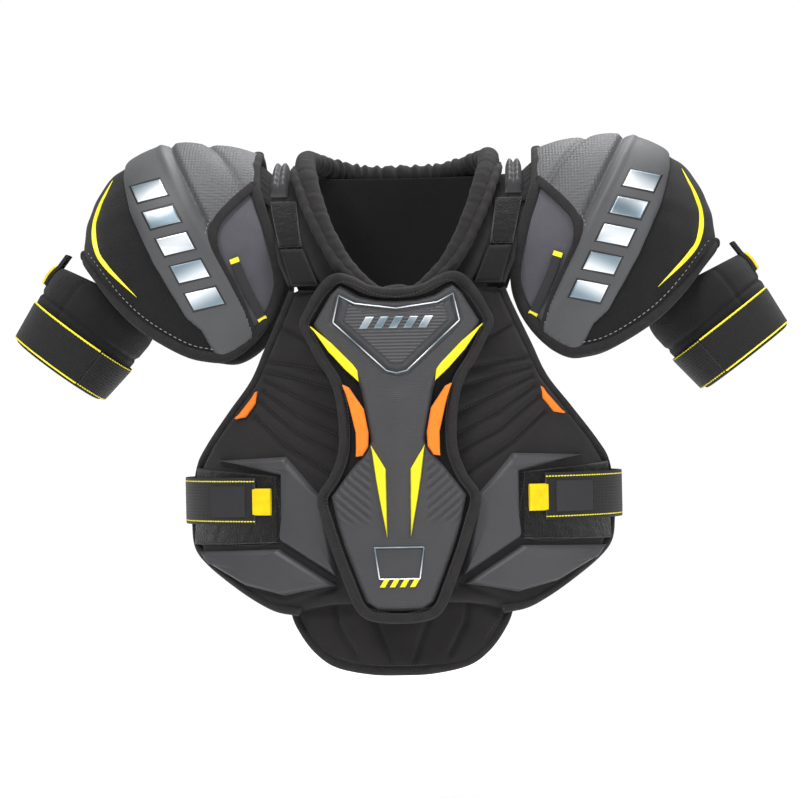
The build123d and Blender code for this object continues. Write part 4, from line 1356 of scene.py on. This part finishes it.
def build_studio():
    """A pale floor, soft lights, white surroundings, and the camera."""
    ring = np.linspace(0, 2 * np.pi, 64, endpoint=False)
    reach = np.array([0.02, 0.5, 1.0, 1.8, 2.6])[:, None]
    points = np.stack(np.broadcast_arrays(reach * np.cos(ring), reach * np.sin(ring), -0.62),
                      axis=-1).reshape(-1, 3)
    i, j = np.meshgrid(np.arange(4), np.arange(64), indexing="ij")
    quads = np.stack([i * 64 + j, (i + 1) * 64 + j, (i + 1) * 64 + (j + 1) % 64, i * 64 + (j + 1) % 64], -1)
    mesh = bpy.data.meshes.new("studio_floor")
    mesh.from_pydata(points.tolist(), [], quads.reshape(-1, 4).tolist() + [list(range(64))])
    floor = bpy.data.objects.new("studio_floor", mesh)
    bpy.context.scene.collection.objects.link(floor)
    paint = Finish("Pale floor", Roughness=0.9, Specular_IOR_Level=0.1, Emission_Color=(1, 1, 1, 1),
                   Emission_Strength=0.5)
    where = paint.places()[0]
    paint.feed("Base Color", paint.blend(paint.noise(where, 0.5), (0.93, 0.93, 0.93), (0.96, 0.96, 0.96)))
    mesh.materials.append(paint.material)
    area_light("key_light", (-1.1, -1.7, 1.9), 0.8, 50)
    area_light("fill_light", (2.1, -1.6, 0.7), 1.2, 26)
    area_light("top_light", (0.1, -0.5, 2.0), 1.0, 40)
    area_light("low_light", (0.0, -2.6, -0.4), 1.0, 4)
    area_light("back_light", (0.3, 1.1, 1.6), 1.4, 30)
    world = bpy.data.worlds.new("studio_air")
    world.use_nodes = True
    nodes = world.node_tree.nodes
    seen, lift = nodes.new("ShaderNodeLightPath"), nodes.new("ShaderNodeMath")
    lift.operation = "MULTIPLY_ADD"
    lift.inputs[1].default_value, lift.inputs[2].default_value = 0.7, 0.32
    world.node_tree.links.new(seen.outputs["Is Camera Ray"], lift.inputs[0])
    world.node_tree.links.new(lift.outputs[0], nodes["Background"].inputs["Strength"])
    nodes["Background"].inputs["Color"].default_value = (1.0, 1.0, 1.0, 1.0)
    bpy.context.scene.world = world
    bpy.context.scene.view_settings.view_transform = "Standard"
    view = bpy.context.scene.pad_view
    data = bpy.data.cameras.new("studio_camera")
    data.lens, data.sensor_width, data.clip_end = 36 * view.distance / view.width, 36, 60
    camera = bpy.data.objects.new("studio_camera", data)
    bpy.context.scene.collection.objects.link(camera)
    away = Vector((np.sin(view.turn) * np.cos(view.rise), -np.cos(view.turn) * np.cos(view.rise),
                   np.sin(view.rise)))
    target = Vector(view.target)
    turn = (-away).to_track_quat("-Z", "Y").to_matrix().to_4x4() @ Matrix.Rotation(view.roll, 4, "Z")
    camera.matrix_world = Matrix.Translation(target + away * view.distance) @ turn
    bpy.context.scene.camera = camera


# ------------------------------------------------------------------------------ add-on
def colour(name, description, value):
    return FloatVectorProperty(name=name, description=description, default=value, size=3, subtype="COLOR",
                               min=0, max=1)


class PadColours(bpy.types.PropertyGroup):
    """Colours of the cloths, foams and trims."""

    black: colour("Black cloth", "Linings, knit and webbing", (0.0048, 0.0048, 0.0054))
    quilt: colour("Quilt", "Quilted cloth, collar and binding", (0.0108, 0.0096, 0.0102))
    plate: colour("Plates", "Sternum plate and rib facets", (0.029, 0.029, 0.032))
    cap: colour("Caps", "Moulded shoulder caps", (0.050, 0.051, 0.055))
    brushed: colour("Cap front", "Brushed panel in the front of each cap", (0.062, 0.061, 0.072))
    yellow: colour("Yellow", "Blades, stripes and stitched lines", (0.80, 0.70, 0.006))
    orange: colour("Orange", "Inserts beside the sternum column", (0.86, 0.17, 0.002))


class PadSizes(bpy.types.PropertyGroup):
    """Sizes that a maker would change, in millimetres."""

    quilt_depth: FloatProperty(name="Channel depth", description="Depth of the sewn channels, mm",
                               default=4.2, min=0, max=8)
    gather_depth: FloatProperty(name="Gather depth", description="Depth of the collar's gathers, mm",
                                default=1.1, min=0, max=3)
    binding_width: FloatProperty(name="Binding width", description="Width of the sternum's bound edge, mm",
                                 default=10.0, min=4, max=14)


class PadView(bpy.types.PropertyGroup):
    """Where the studio camera stands."""

    distance: FloatProperty(name="Distance", description="Camera to target", default=3.5, unit="LENGTH")
    width: FloatProperty(name="Width", description="Width that the picture takes in", default=0.800,
                         unit="LENGTH")
    turn: FloatProperty(name="Turn", description="Turn round the pads", default=0.035, subtype="ANGLE")
    rise: FloatProperty(name="Rise", description="Height angle of the camera", default=0.0, subtype="ANGLE")
    roll: FloatProperty(name="Roll", description="Turn about the line of sight", default=-0.019,
                        subtype="ANGLE")
    target: FloatVectorProperty(name="Target", description="Point in the middle of the picture", size=3,
                                default=(-0.002, 0.0, -0.225), subtype="TRANSLATION", unit="LENGTH")


class PADS_OT_chest(bpy.types.Operator):
    """The quilted chest with its bound edge, seams and side inserts."""

    bl_idname = "pads.chest"
    bl_label = "Quilted chest"

    def execute(self, context):
        build_chest()
        return {"FINISHED"}


class PADS_OT_ribs(bpy.types.Operator):
    """Two facets and a loop patch on each side of the ribs."""

    bl_idname = "pads.ribs"
    bl_label = "Rib facets and loop patches"

    def execute(self, context):
        build_ribs()
        return {"FINISHED"}


class PADS_OT_belly(bpy.types.Operator):
    """The belly pad with its bound lower edge."""

    bl_idname = "pads.belly"
    bl_label = "Belly pad"

    def execute(self, context):
        build_belly()
        return {"FINISHED"}


class PADS_OT_collar(bpy.types.Operator):
    """A gathered neck roll with a slimmer roll outside it at the front."""

    bl_idname = "pads.collar"
    bl_label = "Gathered collar"

    def execute(self, context):
        build_collar()
        return {"FINISHED"}


class PADS_OT_nape(bpy.types.Operator):
    """The lined nape panel behind the neck, with two upright seams."""

    bl_idname = "pads.nape"
    bl_label = "Nape lining"

    def execute(self, context):
        build_nape()
        return {"FINISHED"}


class PADS_OT_arches(bpy.types.Operator):
    """The padded shoulder hoops, the ribbed yoke pads on top, and the clavicle pads and tabs."""

    bl_idname = "pads.arches"
    bl_label = "Shoulder hoops and clavicle pads"

    def execute(self, context):
        build_arches()
        return {"FINISHED"}


class PADS_OT_back(bpy.types.Operator):
    """The quilted back with its binding, and the moulded spine plate."""

    bl_idname = "pads.back"
    bl_label = "Quilted back and spine plate"

    def execute(self, context):
        build_back()
        return {"FINISHED"}


class PADS_OT_waist(bpy.types.Operator):
    """The waist elastic: a fixed length to the back, and a free length with its pull tab and label."""

    bl_idname = "pads.waist"
    bl_label = "Waist elastics"

    def execute(self, context):
        build_waist()
        return {"FINISHED"}


class PADS_OT_sternum(bpy.types.Operator):
    """The sternum pad: bound cloth base, moulded plate, ribbed inset, blades, inserts and trim."""

    bl_idname = "pads.sternum"
    bl_label = "Sternum pad"

    def execute(self, context):
        build_sternum()
        return {"FINISHED"}


class PADS_OT_caps(bpy.types.Operator):
    """The moulded caps: shell, lining, knitted arm side, front panel, bindings, stripe and bars."""

    bl_idname = "pads.caps"
    bl_label = "Shoulder caps"

    def execute(self, context):
        build_caps()
        return {"FINISHED"}


class PADS_OT_guards(bpy.types.Operator):
    """The padded sleeve of each arm with its band, piping, webbing and pull tab."""

    bl_idname = "pads.guards"
    bl_label = "Arm guards"

    def execute(self, context):
        build_guards()
        return {"FINISHED"}


class PADS_OT_studio(bpy.types.Operator):
    """A pale floor, soft lights, white surroundings, and the camera."""

    bl_idname = "pads.studio"
    bl_label = "Studio"

    def execute(self, context):
        build_studio()
        return {"FINISHED"}


MAKERS = [
    PADS_OT_chest, PADS_OT_ribs, PADS_OT_belly, PADS_OT_collar, PADS_OT_nape, PADS_OT_arches,
    PADS_OT_back, PADS_OT_waist, PADS_OT_sternum, PADS_OT_caps, PADS_OT_guards, PADS_OT_studio,
]


class PADS_PT_panel(bpy.types.Panel):
    """Lists the makers of the shoulder pads."""

    bl_idname = "PADS_PT_panel"
    bl_label = "Shoulder pads"
    bl_space_type = "VIEW_3D"
    bl_region_type = "UI"
    bl_category = "Shoulder pads"

    def draw(self, context):
        for group in (context.scene.pad_colours, context.scene.pad_sizes, context.scene.pad_view):
            for name in group.bl_rna.properties.keys():
                if name not in ("rna_type", "name"):
                    self.layout.prop(group, name)
        for made in MAKERS:
            self.layout.operator(made.bl_idname)


CLASSES = [PadColours, PadSizes, PadView, *MAKERS, PADS_PT_panel]


def register():
    for made in CLASSES:
        bpy.utils.register_class(made)
    bpy.types.Scene.pad_colours = PointerProperty(type=PadColours)
    bpy.types.Scene.pad_sizes = PointerProperty(type=PadSizes)
    bpy.types.Scene.pad_view = PointerProperty(type=PadView)


def unregister():
    del bpy.types.Scene.pad_view, bpy.types.Scene.pad_sizes, bpy.types.Scene.pad_colours
    for made in reversed(CLASSES):
        bpy.utils.unregister_class(made)


def main():
    """Registers the classes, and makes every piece."""
    register()
    for made in MAKERS:
        getattr(bpy.ops.pads, made.bl_idname.split(".")[1])()


if __name__ == "__main__":
    main()
